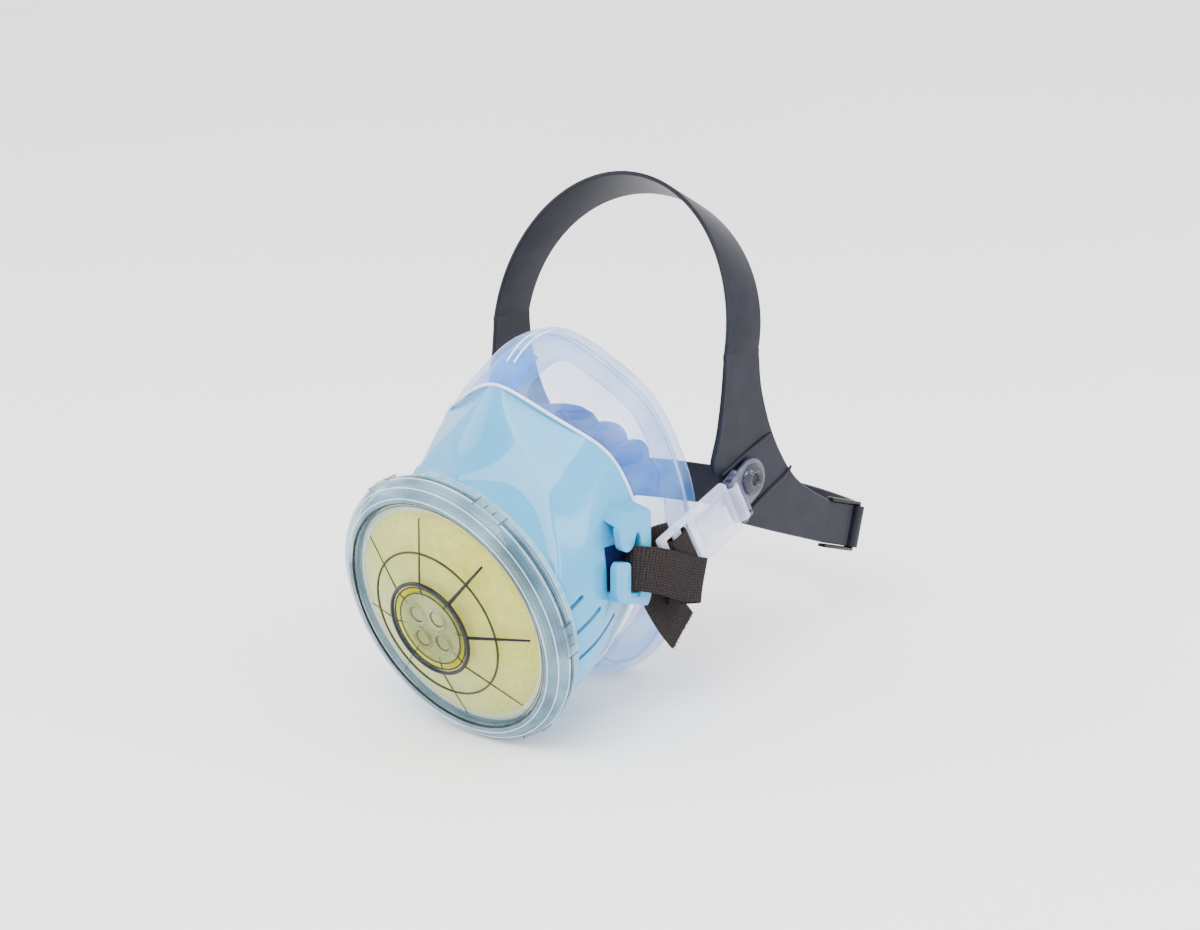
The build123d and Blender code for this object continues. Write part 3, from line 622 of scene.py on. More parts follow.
def facet(points, corners, push):
    """Flatten what stands proud of a plane through three points moved inwards."""
    a, b, c = (np.array(p, float) for p in corners)
    normal = np.cross(b - a, c - a)
    normal /= np.linalg.norm(normal)
    if normal[2] < 0:
        normal = -normal
    level = normal @ a - push
    over = np.maximum(points @ normal - level, 0)
    return points - over[:, None] * normal


# ---------------- pieces: filter

def cone_depth(radius):
    """Depth of the cap's cone-shaped window at a radius."""
    return -CONE_DEPTH * (WINDOW_R - radius) / (WINDOW_R - CONE_R)


def ring_bead(name, radius, depth, size, mat="line_soft"):
    """A thin bead all the way round the cap."""
    loop = [Vector((radius * math.cos(a), depth, radius * math.sin(a))) for a in turns(160)]
    return tube(name, loop, size, mat, "cap", closed=True, sides=8)


def spoke(name, turn, near, far, size, nose=False):
    """A radial rib on the window's cone, or a short stub across the nose's gap."""
    path = []
    for k in range(9):
        r = near + (far - near) * k / 8
        depth = -8.3 if nose else cone_depth(r) - 0.25
        path.append(Vector((r * math.cos(turn), depth, r * math.sin(turn))))
    mat = "line" if nose or size > 0.4 else "line_soft"
    return tube(name, path, lambda t: size * (1 - 0.35 * t), mat, "cap", sides=8)


def petal(k):
    """A raised ring on the boss with a dark line inside it."""
    turn = math.pi / 4 + math.pi / 2 * k
    x, z = PETAL_PLACE_R * math.cos(turn), PETAL_PLACE_R * math.sin(turn)
    loop = [Vector((x + PETAL_R * math.cos(a), -8.95, z + PETAL_R * math.sin(a))) for a in turns(32)]
    inner = [Vector((p.x, -8.7, p.z)).lerp(Vector((x, -8.7, z)), 0.2) for p in loop]
    return [tube(f"cap_petal_{k}", loop, 0.55, "boss", "cap", closed=True, sides=10),
            tube(f"cap_petal_in_{k}", inner, 0.2, "line", "cap", closed=True, sides=8)]


def grip(k):
    """One raised grip block on the cap's skirt, with cross ticks."""
    start, angle = math.radians(GRIP_START + 360 / GRIP_COUNT * k), math.radians(GRIP_ANGLE)
    profile = [(CAP_R - 1.0, 3.9), (CAP_R + 0.4, 4.2), (CAP_R + 0.6, 4.8), (CAP_R + 0.6, 8.0),
               (CAP_R + 0.2, 8.5), (CAP_R - 1.0, 8.5)]
    rings = []
    for s in range(9):
        turn = start + angle * s / 8
        rings.append([(r * math.cos(turn), d, r * math.sin(turn)) for r, d in profile])
    out = [lofted(f"cap_grip_{k}", rings, "cap_rim", "cap")]
    tick_r = CAP_R + 0.62
    ticks = [(0.02, 4.0, 8.6), (0.35, 5.2, 7.4), (0.65, 5.2, 7.4), (0.98, 4.0, 8.6)]
    for t, (share, low, high) in enumerate(ticks):
        turn = start + angle * share
        path = [Vector((tick_r * math.cos(turn), low + (high - low) * s / 4, tick_r * math.sin(turn)))
                for s in range(5)]
        out.append(tube(f"cap_grip_tick_{k}_{t}", path, 0.17, "line_soft", "cap", sides=6))
    return out


def build_cap():
    window = [(NOSE_IN_R, -9.0), (NOSE_OUT_R, -9.0), (CONE_R, -8.6), (CONE_R, -CONE_DEPTH),
              (WINDOW_R - 0.4, -0.1), (WINDOW_R, 1.2), (WINDOW_R - 0.8, 1.6), (CONE_R + 0.2, -6.7),
              (NOSE_IN_R, -6.2)]
    rim = [(WINDOW_R + 0.1, -0.9), (WINDOW_R + 0.9, -1.3), (WINDOW_R + 2.2, -0.7), (CAP_R - 2.6, 0.5),
           (CAP_R - 1.0, 1.7), (CAP_R - 0.2, 3.2), (CAP_R, 4.0), (CAP_R, 5.5), (CAP_R - 0.5, 5.8),
           (CAP_R - 0.5, 6.6), (CAP_R - 0.1, 6.9), (CAP_R - 0.1, 7.4), (CAP_R - 0.7, 7.7), (CAP_R - 0.7, 8.3),
           (CAP_R - 1.2, 8.6), (CAP_R - 1.2, 9.1), (CAP_BORE_R, 9.1), (CAP_BORE_R, 3.1), (44.4, 2.9),
           (WINDOW_R + 0.1, 1.9)]
    boss = [(0, -8.6), (9, -8.75), (BOSS_R - 0.6, -8.9), (BOSS_R, -8.5), (BOSS_R, -7.6), (BOSS_R - 0.4, -7.2),
            (0, -7.2)]
    # dark rings at the rim's edges: real edges, painted dark where the clear plastic bends the light
    lines = [(WINDOW_R - 0.1, -0.35, 0.42), (WINDOW_R - 1.5, 0.2, 0.16), (CAP_R - 0.6, 2.9, 0.14),
             (CAP_R - 0.35, 6.2, 0.13), (CAP_R - 0.8, 8.0, 0.13)]
    # pale rings round the rim: painted highlights
    glints = [(WINDOW_R + 1.7, -1.0, 0.2), (CAP_R - 1.7, 1.1, 0.22), (CAP_R + 0.02, 4.7, 0.22),
              (CAP_R - 0.6, 7.9, 0.12)]
    pieces = [lathe("cap_window", window, "cap", "cap"),
              lathe("cap_rim", rim, "cap_rim", "cap", angle=24.0)]
    for k, bead in enumerate(lines):
        pieces.append(ring_bead(f"cap_line_{k}", *bead, "line_soft" if k else "line"))
    pieces += [ring_bead(f"cap_glint_{k}", *bead, "line_pale") for k, bead in enumerate(glints)]
    # mid rib, nose and boss rings: real edges, painted dark where the clear plastic bends the light
    pieces.append(ring_bead("cap_mid_rib", MID_RIB_R, cone_depth(MID_RIB_R) - 0.2, 0.42))
    pieces.append(ring_bead("cap_nose_line", NOSE_OUT_R, -8.9, 0.72, "line"))
    pieces.append(ring_bead("cap_nose_line_in", NOSE_IN_R, -8.8, 0.32))
    pieces.append(lathe("cap_boss", boss, "boss", "cap"))
    pieces.append(ring_bead("cap_boss_line", BOSS_R - 0.2, -8.75, 0.26))
    # the radial ribs are real; their dark colour is painted shade where the clear plastic bends the light
    for k, (thick, far) in enumerate(RIBS):
        turn = 2 * math.pi / len(RIBS) * k
        pieces.append(spoke(f"cap_spoke_{k}", turn, 17.4, far, thick))
        pieces.append(spoke(f"cap_stub_{k}", turn + 0.03, BOSS_R - 2.2, 16.6, 0.3, nose=True))
    for k in range(4):
        pieces += petal(k)
    for k in range(GRIP_COUNT):
        pieces += grip(k)
    for piece in pieces:
        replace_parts(piece, "filter_cap")


def build_filter():
    """The felt, with a paler edge and a deeper yellow middle."""
    pad = [(0, -4.6), (8, -4.6), (16.0, -4.6), (18.4, -4.4), (30, -1.0), (41.6, 2.4), (42.6, 3.2),
           (42.6, 8.2), (0, 8.2)]
    edge = [(39.6, 1.55), (41.6, 2.2), (42.5, 3.0), (42.5, 3.4), (39.6, 2.4)]
    heart = [(0, -5.0), (15.0, -5.0), (16.6, -4.7), (0, -4.5)]
    for name, profile, mat in (("filter_pad", pad, "pad"), ("filter_pad_edge", edge, "pad_edge"),
                               ("filter_pad_heart", heart, "pad_deep")):
        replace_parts(lathe(name, profile, mat, "filter_media"), "filter_pad")


# ---------------- pieces: shell

def faceted(points):
    for corners in FACETS:
        points = facet(points, corners, FACET_CUT)
        points = facet(points, [(-x, y, z) for x, y, z in corners], FACET_CUT)
    return points


def slot_cutter(side, back, height):
    """A long thin round-ended slot, rising to the back, for cut()."""
    length = back - SHELL_FRONT + 8
    outline = [(SLOT_R * math.cos(a), SLOT_R * math.sin(a))
               for a in (-math.pi / 2 + math.pi * k / 16 for k in range(17))]
    outline += [(-length, SLOT_R), (-length, -SLOT_R)]
    c, s = math.cos(SLOT_RISE), math.sin(SLOT_RISE)
    points = [(back + y * c - z * s, height + y * s + z * c) for y, z in outline]
    return *loft([[(x * side, y, z) for y, z in points] for x in (24, 60)]), MASK


def build_shell():
    rim = rim_depth(SHELL)
    lining = SHELL_FRONT + SHELL_WALL
    rings = []
    for k in range(SHELL_STEPS + 1):
        depth = SHELL_FRONT + (rim - SHELL_FRONT) * (k / SHELL_STEPS)
        rings.append(faceted(SHELL.ring(depth, 0.5 * max(0, 1 - k / 1.5))))
    rings.append(SHELL.ring(rim + 0.05, 0.9))
    for k in range(LINING_STEPS, -1, -1):
        rings.append(SHELL.ring(lining + (rim - 0.1 - lining) * (k / LINING_STEPS), SHELL_WALL))
    front = SHELL.ring(SHELL_FRONT)
    turn = np.arctan2(front[:, 2], front[:, 0])
    for radius, depth in ((FRONT_WALL_R, lining), (NECK_HOLE_R, lining), (NECK_HOLE_R, SHELL_FRONT),
                          (FRONT_WALL_R, SHELL_FRONT)):
        rings.append(np.stack([radius * np.cos(turn), np.full(len(turn), depth), radius * np.sin(turn)], 1))
    shell = lofted("shell_body", rings + rings[:1], "shell", "shell", angle=24.0, caps=False)
    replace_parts(shell, "front_shell")
    cut(shell, [slot_cutter(side, back, height) for side in (1, -1) for back, height in VENT_SLOTS])
    edge = SHELL.ring(rim_depth(SHELL, -0.3), -0.15)
    piping = tube("shell_rim_bead", [Vector(p) for p in edge[::2]], 0.62, "rim", "shell", closed=True)
    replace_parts(piping, "front_shell")


def build_hooks():
    def plate(name):
        return prism(name, rounded(HOOK_PLATE, 1.2, 3), HOOK_IN_X, HOOK_OUT_X, "shell", "shell", 0.55)

    def hood(name):
        inner = [(HOOD_IN_X, y, z) for y, z in HOOD_INNER]
        outer = [(HOOK_OUT_X - 0.3, y, z) for y, z in HOOD_OUTER]
        piece = lofted(name, [inner, outer], "shell", "shell", STRAP)
        bevel(piece, 0.9, 3, 20.0)
        return piece

    def foot(name):
        return prism(name, HOOK_FOOT, FOOT_IN_X, HOOK_OUT_X - 0.4, "shell", "shell", 0.6)

    for maker, stem in ((plate, "hook_plate"), (hood, "hook_hood"), (foot, "hook_foot")):
        both(maker, stem, "shell", "front_shell", ONE_NODE)


# ---------------- pieces: facepiece

def build_facepiece():
    """The silicone skirt from the shell's rim to the turned-in sealing lip."""
    front = rim_depth(FACE, 0.35)
    back = face_depth()

    def ring(share, inset, extra=0.0):
        return FACE.ring(front + (back - front) * share + extra, inset)

    rings = [ring(0, 0.9), ring(0, 0.3), ring(0.02, 0.05)]
    rings += [ring(k / 24, 0) for k in range(1, 24)]
    rings += [ring(0.985, 0.1), ring(1.0, 0.7, 0.5), ring(1.0, 1.8, 0.9), ring(1.0, 3.2, 0.8)]
    rings += [ring(1.0, 3.2 + (LIP_WIDTH - 3.2) * k / 6, 0.8 - 2.6 * (k / 6) ** 2) for k in range(1, 7)]
    rings += [ring(1.0, LIP_WIDTH - 0.3, -2.9), ring(1.0, LIP_WIDTH - 1.6, -3.2)]
    rings += [ring(1.0, 3.0 + (LIP_WIDTH - 3.0) * k / 6, -1.4 - 1.8 * (k / 6) ** 2) for k in range(4, 0, -1)]
    rings += [ring(k / 16, SKIN) for k in range(15, -1, -1)]
    rings.append(rings[0])
    pieces = [lofted("face_skin", rings, "skin", "facepiece", angle=60.0, caps=False)]
    # deeper blue silicone over the nose: a thin patch about the top point of the loops
    count = FACE.loops.shape[1]
    patch = []
    for k in range(13):
        loop = ring(0.03 + 0.37 * k / 12, 0.9)
        patch.append([loop[s % count] for s in range(-9, 10)])
    under = [[p - (0, 0, 0.5) for p in row] for row in reversed(patch)]
    pieces.append(lofted("nose_tint", patch + under + patch[:1], "skin_deep", "facepiece", angle=60.0,
                         closed=False, caps=False))
    for index in (2, count - 2):
        path = [Vector(ring(0.24 + 0.62 * k / 12, 0.1)[index]) for k in range(13)]
        pieces.append(tube(f"nose_rib_{index}", path, 0.45, "rim", "facepiece", sides=8))
    fold = [Vector(p) for p in ring(0.88, SKIN + 0.2)[::2]]
    pieces.append(tube("face_fold", fold, 0.55, "rim", "facepiece", closed=True))
    for piece in pieces:
        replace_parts(piece, "facepiece")


def outline_x(surface, depth, height):
    """How far out a surface's left side is at a depth and height."""
    loop = surface.at(depth)
    side = loop[loop[:, 0] > 0]
    order = np.argsort(side[:, 1])
    return float(np.interp(height, side[order, 1], side[order, 0]))


def build_lobes():
    """Rounded fingers of the clamping frame, seen through the silicone."""
    slope = math.radians(PITCH)
    for index, (back, height) in enumerate(LOBES):
        def finger(name, back=back, height=height):
            length = back - LOBE_ROOT
            rings = []
            for k in range(17):
                along = -length + (length + LOBE_R) * k / 16
                d = min(back + along * math.cos(slope), back + LOBE_R - 0.1)
                w = height - along * math.sin(slope)
                size = LOBE_R if along < 0 else math.sqrt(max(LOBE_R ** 2 - along ** 2, 0.02))
                x = outline_x(FACE, d, w) - LOBE_UNDER
                rings.append([(x + LOBE_FLATNESS * size * math.cos(a),
                               d + size * math.sin(a) * math.sin(slope),
                               w + size * math.sin(a) * math.cos(slope)) for a in turns(24)])
            return lofted(name, rings, "lobe", "clamp", MASK, 60.0)

        both(finger, f"clamp_lobe_{index}", "clamp")


def build_shade_panel():
    """Thin dark panel on the shell behind each hook: painted shade for the shaded gap between the hook's hood
    and foot.
    """
    (y0, y1), (z0, z1) = SHADE_PANEL_Y, SHADE_PANEL_Z
    c, s = math.cos(math.radians(PITCH)), math.sin(math.radians(PITCH))

    def shade_panel(name):
        rings = []
        for lift, rows in ((0.25, range(9)), (-0.6, range(8, -1, -1))):
            for k in rows:
                z = z0 + (z1 - z0) * k / 8 - WINDOW_HEIGHT
                ring = []
                for step in range(7):
                    y = y0 + (y1 - y0) * step / 6
                    d, w = y * c + z * s, -y * s + z * c
                    ring.append((outline_x(SHELL, min(d, 50.0), w) + lift, d, w))
                rings.append(ring)
        return lofted(name, rings + rings[:1], "shadow", "shell", closed=False, caps=False)

    both(shade_panel, "hook_recess", "shell", "front_shell", ONE_NODE)


# ---------------- pieces: harness

def band_station(turn):
    """Centre, across and outward directions of the head band at an angle from the left leg."""
    rise = math.sin(turn)
    (y, z), (back, high) = BAND_FOOT, BAND_RISE
    centre = Vector((BAND_X * math.cos(turn), y + back * rise, z + high * rise))
    twist = BAND_TWIST * rise
    across = Vector((0, math.cos(twist), -math.sin(twist)))
    run = Vector((-BAND_X * math.sin(turn), back * math.cos(turn), high * math.cos(turn))).normalized()
    if rise < BAND_SETTLE:
        upright = Vector((0, 0, math.copysign(1, math.cos(turn))))
        run = run.lerp(upright, 1 - rise / BAND_SETTLE).normalized()
    return centre, across, across.cross(run).normalized()


def plate_outline():
    """Side plate as (y, z) points: its hollow rear edge, the tail, the lower edge and the nose."""
    hollow = smooth_path([(99, 132, 0), (101.2, 116, 0), (108.5, 98, 0), (121.5, 81.5, 0),
                          (141.4, 69.6, 0)], 8)
    tail = [(155.6, 65.5), (151.5, 50.7), (137.5, 54.8), (110.0, 64.2)]
    nose = smooth_path([(90.4, 71.2, 0), (87.2, 72.6, 0), (84.6, 76.6, 0), (79.0, 86.0, 0), (75.0, 93.2, 0),
                        (74.8, 96.4, 0), (77.6, 105.0, 0), (79.8, 118.0, 0), (81, 132, 0)], 5)
    return [(p.x, p.y) for p in hollow] + tail + [(p.x, p.y) for p in nose]


def side_plate(name):
    """One side plate with softened edges, thinner under the band, and the snap button's hole."""
    outline = plate_outline()
    rings = []
    for outer_face, is_edge in ((False, False), (False, True), (True, True), (True, False)):
        ring = []
        for i, (y, z) in enumerate(outline):
            thin = min(max((z - 100) / 32, 0), 1)
            soft = 0.35 if z < BAND_FOOT[1] - 0.5 else 0.0
            inset, drop = (0.0, soft) if is_edge else (soft, 0.0)
            x = PLATE_X + PLATE_T - 0.45 * thin - drop if outer_face else PLATE_X + 0.25 * thin + drop
            run = (Vector(outline[(i + 1) % len(outline)]) - Vector(outline[i - 1])).normalized()
            ring.append((x, y + run.y * inset, z - run.x * inset))
        rings.append(ring)
    piece = lofted(name, rings, "harness", "harness", STRAP, 40.0)
    (y0, z0), r = BUTTON, BUTTON_HOLE_R
    hole = [[(x, y0 + r * math.cos(a), z0 + r * math.sin(a)) for a in turns(48)]
            for x in (PLATE_X - 2, PLATE_X + 5)]
    cut(piece, [(*loft(hole), STRAP)])
    return piece


def build_harness():
    stations = [band_station(math.pi * k / BAND_STEPS) for k in range(BAND_STEPS + 1)]
    band = strap("head_band", stations, 18.0, 1.5, "harness", "harness", edge=0.5)
    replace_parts(band, "head_harness")
    both(side_plate, "side_plate", "harness", "head_harness", ONE_NODE)
    ridges = {"ridge_top": [(78.6, 90.4), (86, 93.6), (96, 97.6), (105.4, 100.9)],
              "ridge_low": [(86.4, 75.4), (89.6, 73.6), (93.0, 74.8), (103, 79.6), (113.5, 84.2),
                            (117.4, 87.0)]}
    for stem, points in ridges.items():
        def ridge(name, points=points):
            path = smooth_path([(PLATE_X + PLATE_T + 0.05, y, z) for y, z in points], 8)
            return tube(name, path, lambda t: 0.8 if 0.06 < t < 0.94 else 0.5, "harness", "harness",
                        STRAP)
        both(ridge, stem, "harness", "head_harness", ONE_NODE)


def on_tail(x, along, across):
    """A point on the harness tail, in the STRAP frame."""
    c, s = math.cos(CLIP_SLOPE), math.sin(CLIP_SLOPE)
    y, z = CLIP
    return Vector((PLATE_X + PLATE_T / 2 + x, y + along * c - across * s, z + along * s + across * c))


def build_nape():
    a, b = CLIP_HALF_LENGTH, CLIP_HALF_WIDTH

    def clip(name):
        corners = [(-a, b), (a, b), (a, -b), (-a, -b), (-a, -b + CLIP_BAR), (a - CLIP_BAR, -b + CLIP_BAR),
                   (a - CLIP_BAR, b - CLIP_BAR), (-a, b - CLIP_BAR)]
        outline = rounded(corners, 0.7, 3)
        rings = [[on_tail(x, along, across) for along, across in outline]
                 for x in (-CLIP_HALF_T, CLIP_HALF_T)]
        piece = lofted(name, rings, "clip", "clip", STRAP)
        bevel(piece, 0.3)
        return piece

    def sleeve(name):
        outline = rounded([(-2.9, 6.3), (2.9, 6.3), (2.9, 10.2), (-2.9, 10.2)], 1.4, 4)
        rings = [[on_tail(x, along, across) for x, along in outline] for across in (-7.6, -7.2, 7.2, 7.6)]
        return lofted(name, rings, "harness", "harness", STRAP, 50.0)

    both(clip, "nape_clip", "clip", "neck_clip")
    up = Vector((0, 0, 1))
    stations = []
    for k in range(NAPE_STEPS + 1):
        t = -1 + 2 * k / NAPE_STEPS
        run = Vector((NAPE_X, -2 * NAPE_BOW * t, 0)).normalized()
        centre = Vector((NAPE_X * t, NAPE_FOOT[0] + NAPE_BOW * (1 - t * t), NAPE_FOOT[1]))
        stations.append((centre, up, run.cross(up)))
    sling = strap("nape_strap", stations, 15.6, 1.5, "harness", "harness")
    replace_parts(sling, "neck_strap")
    both(sleeve, "nape_sleeve", "harness", "neck_strap", ONE_NODE)


# ---------------- pieces: straps

def strap_space():
    """Frame at the buckle's bar: X back along the strap, Y across it, Z outwards."""
    bar_y = BUTTON[0] - LINK_LENGTH * math.cos(STRAP_SLOPE)
    bar_z = BUTTON[1] - LINK_LENGTH * math.sin(STRAP_SLOPE)
    back = Vector((0, math.cos(STRAP_SLOPE), math.sin(STRAP_SLOPE)))
    out = Vector((1, 0, 0))
    across = out.cross(back)
    turn = Matrix((back, across, out)).transposed().to_4x4()
    return STRAP @ Matrix.Translation((BAR_X, bar_y, bar_z)) @ turn


LINK_SPACE = strap_space()
BUCKLE_SPACE = LINK_SPACE @ Matrix.Rotation(-BUCKLE_LEAN, 4, "Y")


def slab(name, low, high, mat, slot, space, corner, round_by, cutters=()):
    """A flat plate with rounded corners, from its lowest and highest points."""
    (x0, y0, z0), (x1, y1, z1) = low, high
    outline = rounded([(x0, y0), (x1, y0), (x1, y1), (x0, y1)], corner, 4)
    piece = lofted(name, [[(x, y, z) for x, y in outline] for z in (z0, z1)], mat, slot, space)
    cut(piece, [box_solid(a, b, space) for a, b in cutters])
    bevel(piece, round_by)
    return piece


def rod(name, start, end, radius, mat, slot, space):
    path = [Vector(start).lerp(Vector(end), k / 6) for k in range(7)]
    return tube(name, path, radius, mat, slot, space, sides=24)


def build_buckles():
    def frame_plate(name):
        slots = [((-31.6, -8.4, -5), (-28.2, 8.4, 5)), ((-25.0, -8.4, -5), (-21.6, 8.4, 5))]
        window = ((-19.6, -7.4, 0.3), (-4.6, 7.4, 3.0))
        return slab(name, (-34.5, -10.25, -1.5), (-1.9, 10.25, 1.1), "buckle", "buckle", BUCKLE_SPACE,
                    1.4, 0.45, [*slots, window])

    def pane(name):
        return slab(name, (-18.2, -6.2, -0.4), (-6.0, 6.2, 0.55), "buckle", "buckle", BUCKLE_SPACE, 1.0, 0.25)

    def knuckle(name):
        return rod(name, (0, -7, 0), (0, 7, 0), 2.7, "buckle", "buckle", LINK_SPACE)

    for maker, stem in ((frame_plate, "buckle_frame"), (pane, "buckle_pane"), (knuckle, "buckle_knuckle")):
        both(maker, stem, "buckle", "buckle")


def build_links():
    tongue = LINK_X - BAR_X

    def bar(name):
        return rod(name, (0, -LINK_HALF, 0), (0, LINK_HALF, 0), 1.5, "link", "link", LINK_SPACE)

    def yoke(name):
        return slab(name, (3.2, -LINK_HALF, tongue), (6.0, LINK_HALF, tongue + 1.9), "link", "link",
                    LINK_SPACE, 0.5, 0.35)

    def plate(name):
        outline = [(5.0, -TONGUE_HALF)]
        outline += [(LINK_LENGTH + TONGUE_HALF * math.sin(a), -TONGUE_HALF * math.cos(a))
                    for a in (math.pi * k / 20 for k in range(21))]
        outline += [(5.0, TONGUE_HALF)]
        rings = [[(x, y, z) for x, y in outline] for z in (tongue, tongue + TONGUE_T)]
        piece = lofted(name, rings, "link", "link", LINK_SPACE)
        bevel(piece, 0.4)
        return piece

    def cheek_a(name):
        return slab(name, (-0.9, LINK_CHEEK_IN, -2.3), (4.4, LINK_HALF, 1.2), "link", "link",
                    LINK_SPACE, 0.6, 0.3)

    def cheek_b(name):
        return slab(name, (-0.9, -LINK_HALF, -2.3), (4.4, -LINK_CHEEK_IN, 1.2), "link", "link",
                    LINK_SPACE, 0.6, 0.3)

    for maker, stem in ((bar, "link_bar"), (yoke, "link_yoke"), (plate, "link_plate"),
                        (cheek_a, "link_cheek_a"), (cheek_b, "link_cheek_b")):
        both(maker, stem, "link", "link")


def build_buttons():
    out, inside = LINK_X + TONGUE_T, PLATE_X - 1.6
    space = STRAP @ Matrix.Translation((0, *BUTTON)) @ Matrix.Rotation(math.radians(-90), 4, "Z")

    def dome(name):
        profile = [(0, out + 0.7), (1.0, out + 0.75), (1.9, out + 1.2), (2.4, out + 2.0), (3.1, out + 2.35),
                   (4.2, out + 2.1), (5.1, out + 1.3), (5.6, out + 0.4), (5.6, out), (0, out)]
        return lathe(name, profile, "button", "button", 64, 60.0, space)

    def pit(name):
        profile = [(0, out + 0.9), (1.5, out + 1.05), (2.0, out + 1.5), (2.0, out + 0.7), (0, out + 0.6)]
        return lathe(name, profile, "line", "button", 48, 60.0, space)

    def shank(name):
        profile = [(0, out), (2.5, out), (2.5, inside), (4.2, inside), (4.6, inside - 0.4),
                   (4.6, inside - 1.0), (4.1, inside - 1.2), (0, inside - 1.2)]
        return lathe(name, profile, "button", "button", 48, 40.0, space)

    for maker, stem in ((dome, "button_dome"), (pit, "button_pit"), (shank, "button_shank")):
        both(maker, stem, "button", "snap_button")


def strip_stations(points, up, per=8):
    """Stations along a smooth path; up is the strip's width direction before it is squared."""
    path = smooth_path(points, per)
    ups = smooth_path(up, per) if isinstance(up, list) else [Vector(up)] * len(path)
    out = []
    for i, p in enumerate(path):
        run = (path[min(i + 1, len(path) - 1)] - path[max(i - 1, 0)]).normalized()
        across = (ups[i] - run * ups[i].dot(run)).normalized()
        out.append((p, across, across.cross(run).normalized()))
    return out


def frayed_end(name):
    """Loose yarns at the webbing's cut end."""
    verts, faces = [], []
    end, run, across = Vector((46.6, 68.2, 36.0)), Vector((-0.06, 0.7, -0.71)), Vector((0, 0.71, 0.7))
    chance = np.random.default_rng(7)
    for _ in range(90):
        at = end + across * chance.uniform(-7.3, 7.3) + Vector((chance.uniform(-0.5, 0.5), 0, 0))
        tip = at + run * chance.uniform(0.4, 1.7) + across * chance.uniform(-0.5, 0.5)
        base = len(verts)
        for p, size in ((at - run * 0.8, 0.16), (tip, 0.07)):
            side = Vector((size, 0, 0))
            verts += [tuple(p + step) for step in (side, across * size, -side, across * -size)]
        faces += [(base + a, base + (a + 1) % 4, base + 4 + (a + 1) % 4, base + 4 + a) for a in range(4)]
        faces += [(base, base + 3, base + 2, base + 1), (base + 4, base + 5, base + 6, base + 7)]
    return make(name, verts, faces, "web", "webbing", STRAP, 60.0, [(v[1], v[2]) for v in verts])


def build_webbing():
    """The elastic: round the hook, over the buckle's rung, and its free end."""
    def web(name, points, ups, width, thick=WEB_T, space=STRAP):
        return strap(name, strip_stations(points, ups), width, thick, "web", "webbing", space)

    def loop(name):
        points = [(51.0, 57.5, 71.4), (48.0, 53.6, 69.6), (45.6, 49.4, 67.2), (45.4, 44.5, 65.4),
                  (46.0, 40.6, 64.9), (48.6, 39.2, 64.8), (51.4, 40.8, 64.6), (53.6, 44.4, 63.8),
                  (55.7, 49.5, 62.2), (56.9, 57.5, 58.8), (57.6, 63.4, 57.2), (56.4, 67.0, 56.0),
                  (53.0, 67.6, 55.0), (50.3, 64.4, 54.8), (49.4, 58.0, 55.6)]
        ups = [(0.1, -0.5, 0.85), (0.1, -0.3, 0.95), (0, -0.1, 1), (0, 0, 1), (0, 0.02, 1), (0, 0.03, 1),
               (0, 0.06, 1), (0, 0.12, 1), (0, 0.24, 1), (0, 0.32, 1), (0, 0.3, 1), (0, 0.26, 1)]
        ups += [(0, 0.2, 1)] * 3
        return web(name, points, ups, 15.6)

    def wrap(name):
        points = [(-25.4, 0, -3.4), (-23.6, 0, -1.6), (-23.6, 0, 1.2), (-26.6, 0, 2.3), (-30.4, 0, 1.9),
                  (-31.0, 0, -0.8), (-29.6, 0, -3.4)]
        return web(name, points, Vector((0, 1, 0)), 14.6, 1.2, BUCKLE_SPACE)

    def tail(name):
        points = [(45.4, 50.4, 66.5), (45.6, 53.0, 58.5), (46.4, 56.0, 51.0), (47.2, 61.4, 43.0),
                  (46.6, 68.2, 36.0)]
        ups = [(0, 0.75, 0.66), (0, 0.88, 0.48), (0, 0.92, 0.4), (0, 0.8, 0.6), (0, 0.66, 0.75)]
        return web(name, points, ups, 15.2)

    for maker, stem in ((loop, "webbing_loop"), (wrap, "webbing_wrap"), (tail, "webbing_tail"),
                        (frayed_end, "webbing_fray")):
        both(maker, stem, "webbing", "webbing")


# ---------------- kept CAD nodes, stage, light, camera

def finish_cad():
    """Materials for the CAD nodes that stay in the picture."""
    kept = {"cap_seal": "seal", "base_gasket": "seal", "filter_base": "base", "neck_nut": "base",
            "inhale_seat": "valve", "inhale_flap": "valve", "clamp_frame": "lobe"}
    kept |= {f"exhale_{part}_{side}": "valve" for part in ("seat", "flap") for side in ("left", "right")}
    for node, mat in kept.items():
        cad = bpy.data.objects[node]
        cad.data.materials.clear()
        cad.data.materials.append(MAT[mat])


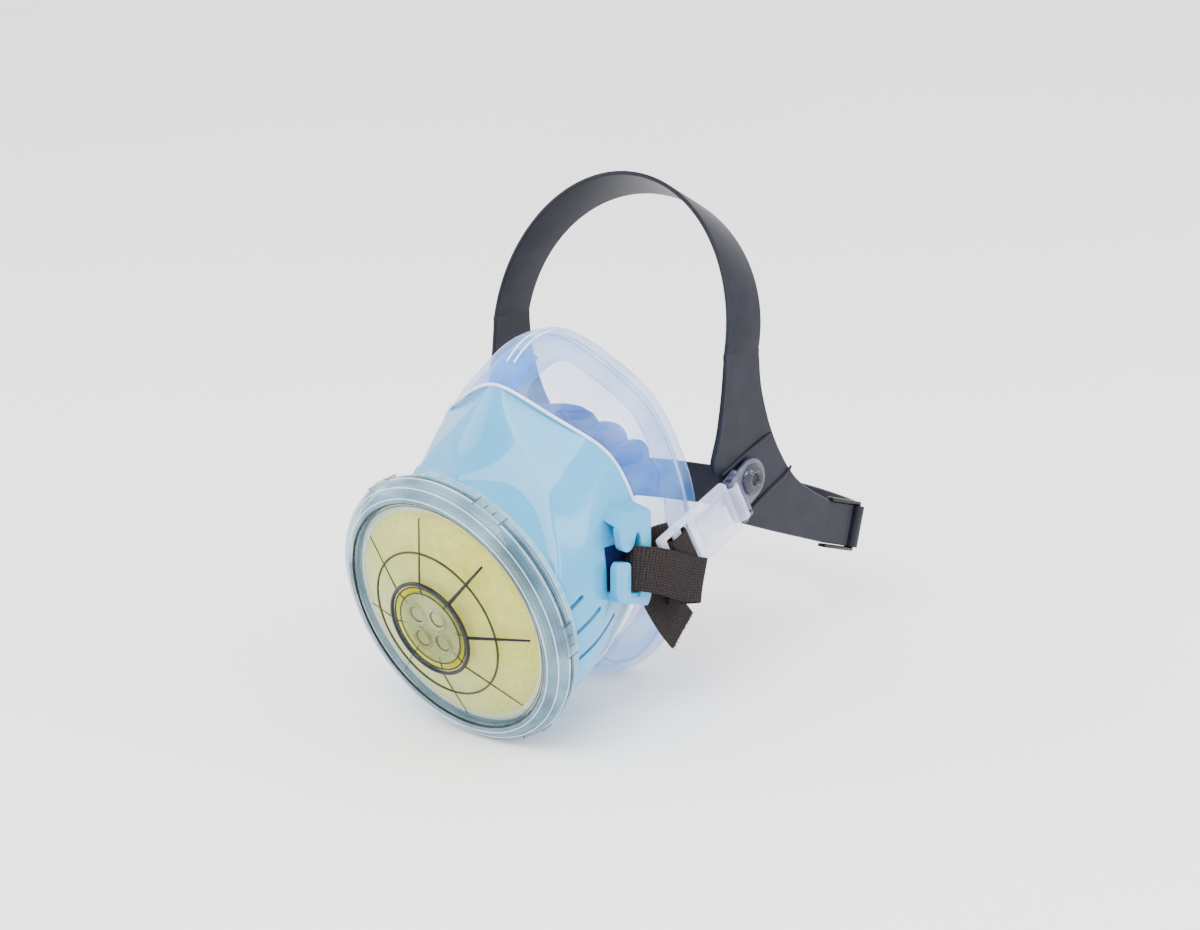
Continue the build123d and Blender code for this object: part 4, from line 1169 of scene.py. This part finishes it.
def build_stage():
    half = 6.0
    corners = [(-half, -half, 0), (half, -half, 0), (half, half, 0), (-half, half, 0)]
    mesh = bpy.data.meshes.new("floor")
    mesh.from_pydata(corners, [], [(0, 1, 2, 3)])
    floor = add_object("floor", mesh)
    mesh.materials.append(plastic("floor_paint", (0.93, 0.93, 0.93), (0.95, 0.95, 0.95), 0.9, spot=3.0))
    world = bpy.data.worlds.new("studio")
    bpy.context.scene.world = world
    world.use_nodes = True
    back = world.node_tree.nodes["Background"]
    back.inputs["Color"].default_value = (1, 1, 1, 1)
    back.inputs["Strength"].default_value = 2.2


def area_light(name, place, aim, size, power):
    lamp = bpy.data.lights.new(name, "AREA")
    lamp.shape = "RECTANGLE"
    lamp.size, lamp.size_y = size
    lamp.energy = power
    holder = add_object(name, lamp)
    holder.location = place
    holder.rotation_euler = (Vector(aim) - Vector(place)).to_track_quat("-Z", "Y").to_euler()


def build_lights():
    aim = (0, 0, 0.09)
    area_light("key", (0.3, -0.6, 0.95), aim, (0.7, 0.5), 12.0)
    area_light("left_fill", (-0.9, -0.5, 0.45), aim, (0.6, 0.6), 4.0)
    area_light("right_edge", (0.9, 0.25, 0.6), aim, (0.4, 0.6), 6.0)


def build_camera():
    """The camera stands off the wearer's left front, a little above the mask."""
    turn, rise = math.radians(41.5), math.radians(13.5)
    back = Vector((math.sin(turn) * math.cos(rise), -math.cos(turn) * math.cos(rise), math.sin(rise)))
    right = Vector((math.cos(turn), math.sin(turn), 0))
    up = back.cross(right)
    lens = bpy.data.cameras.new("camera")
    lens.lens = 84.3
    lens.sensor_width = 36.0
    holder = add_object("camera", lens)
    level = STRAP.to_quaternion().to_matrix() @ Matrix((right, up, back)).transposed()
    holder.matrix_world = Matrix.Translation(STRAP @ Vector((644.31, -650.26, 319.05))) @ level.to_4x4()
    bpy.context.scene.camera = holder


build_camera()
build_stage()
build_lights()
build_cap()
build_filter()
build_shell()
build_hooks()
build_facepiece()
build_lobes()
build_shade_panel()
build_harness()
build_nape()
build_buckles()
build_links()
build_buttons()
build_webbing()
finish_cad()
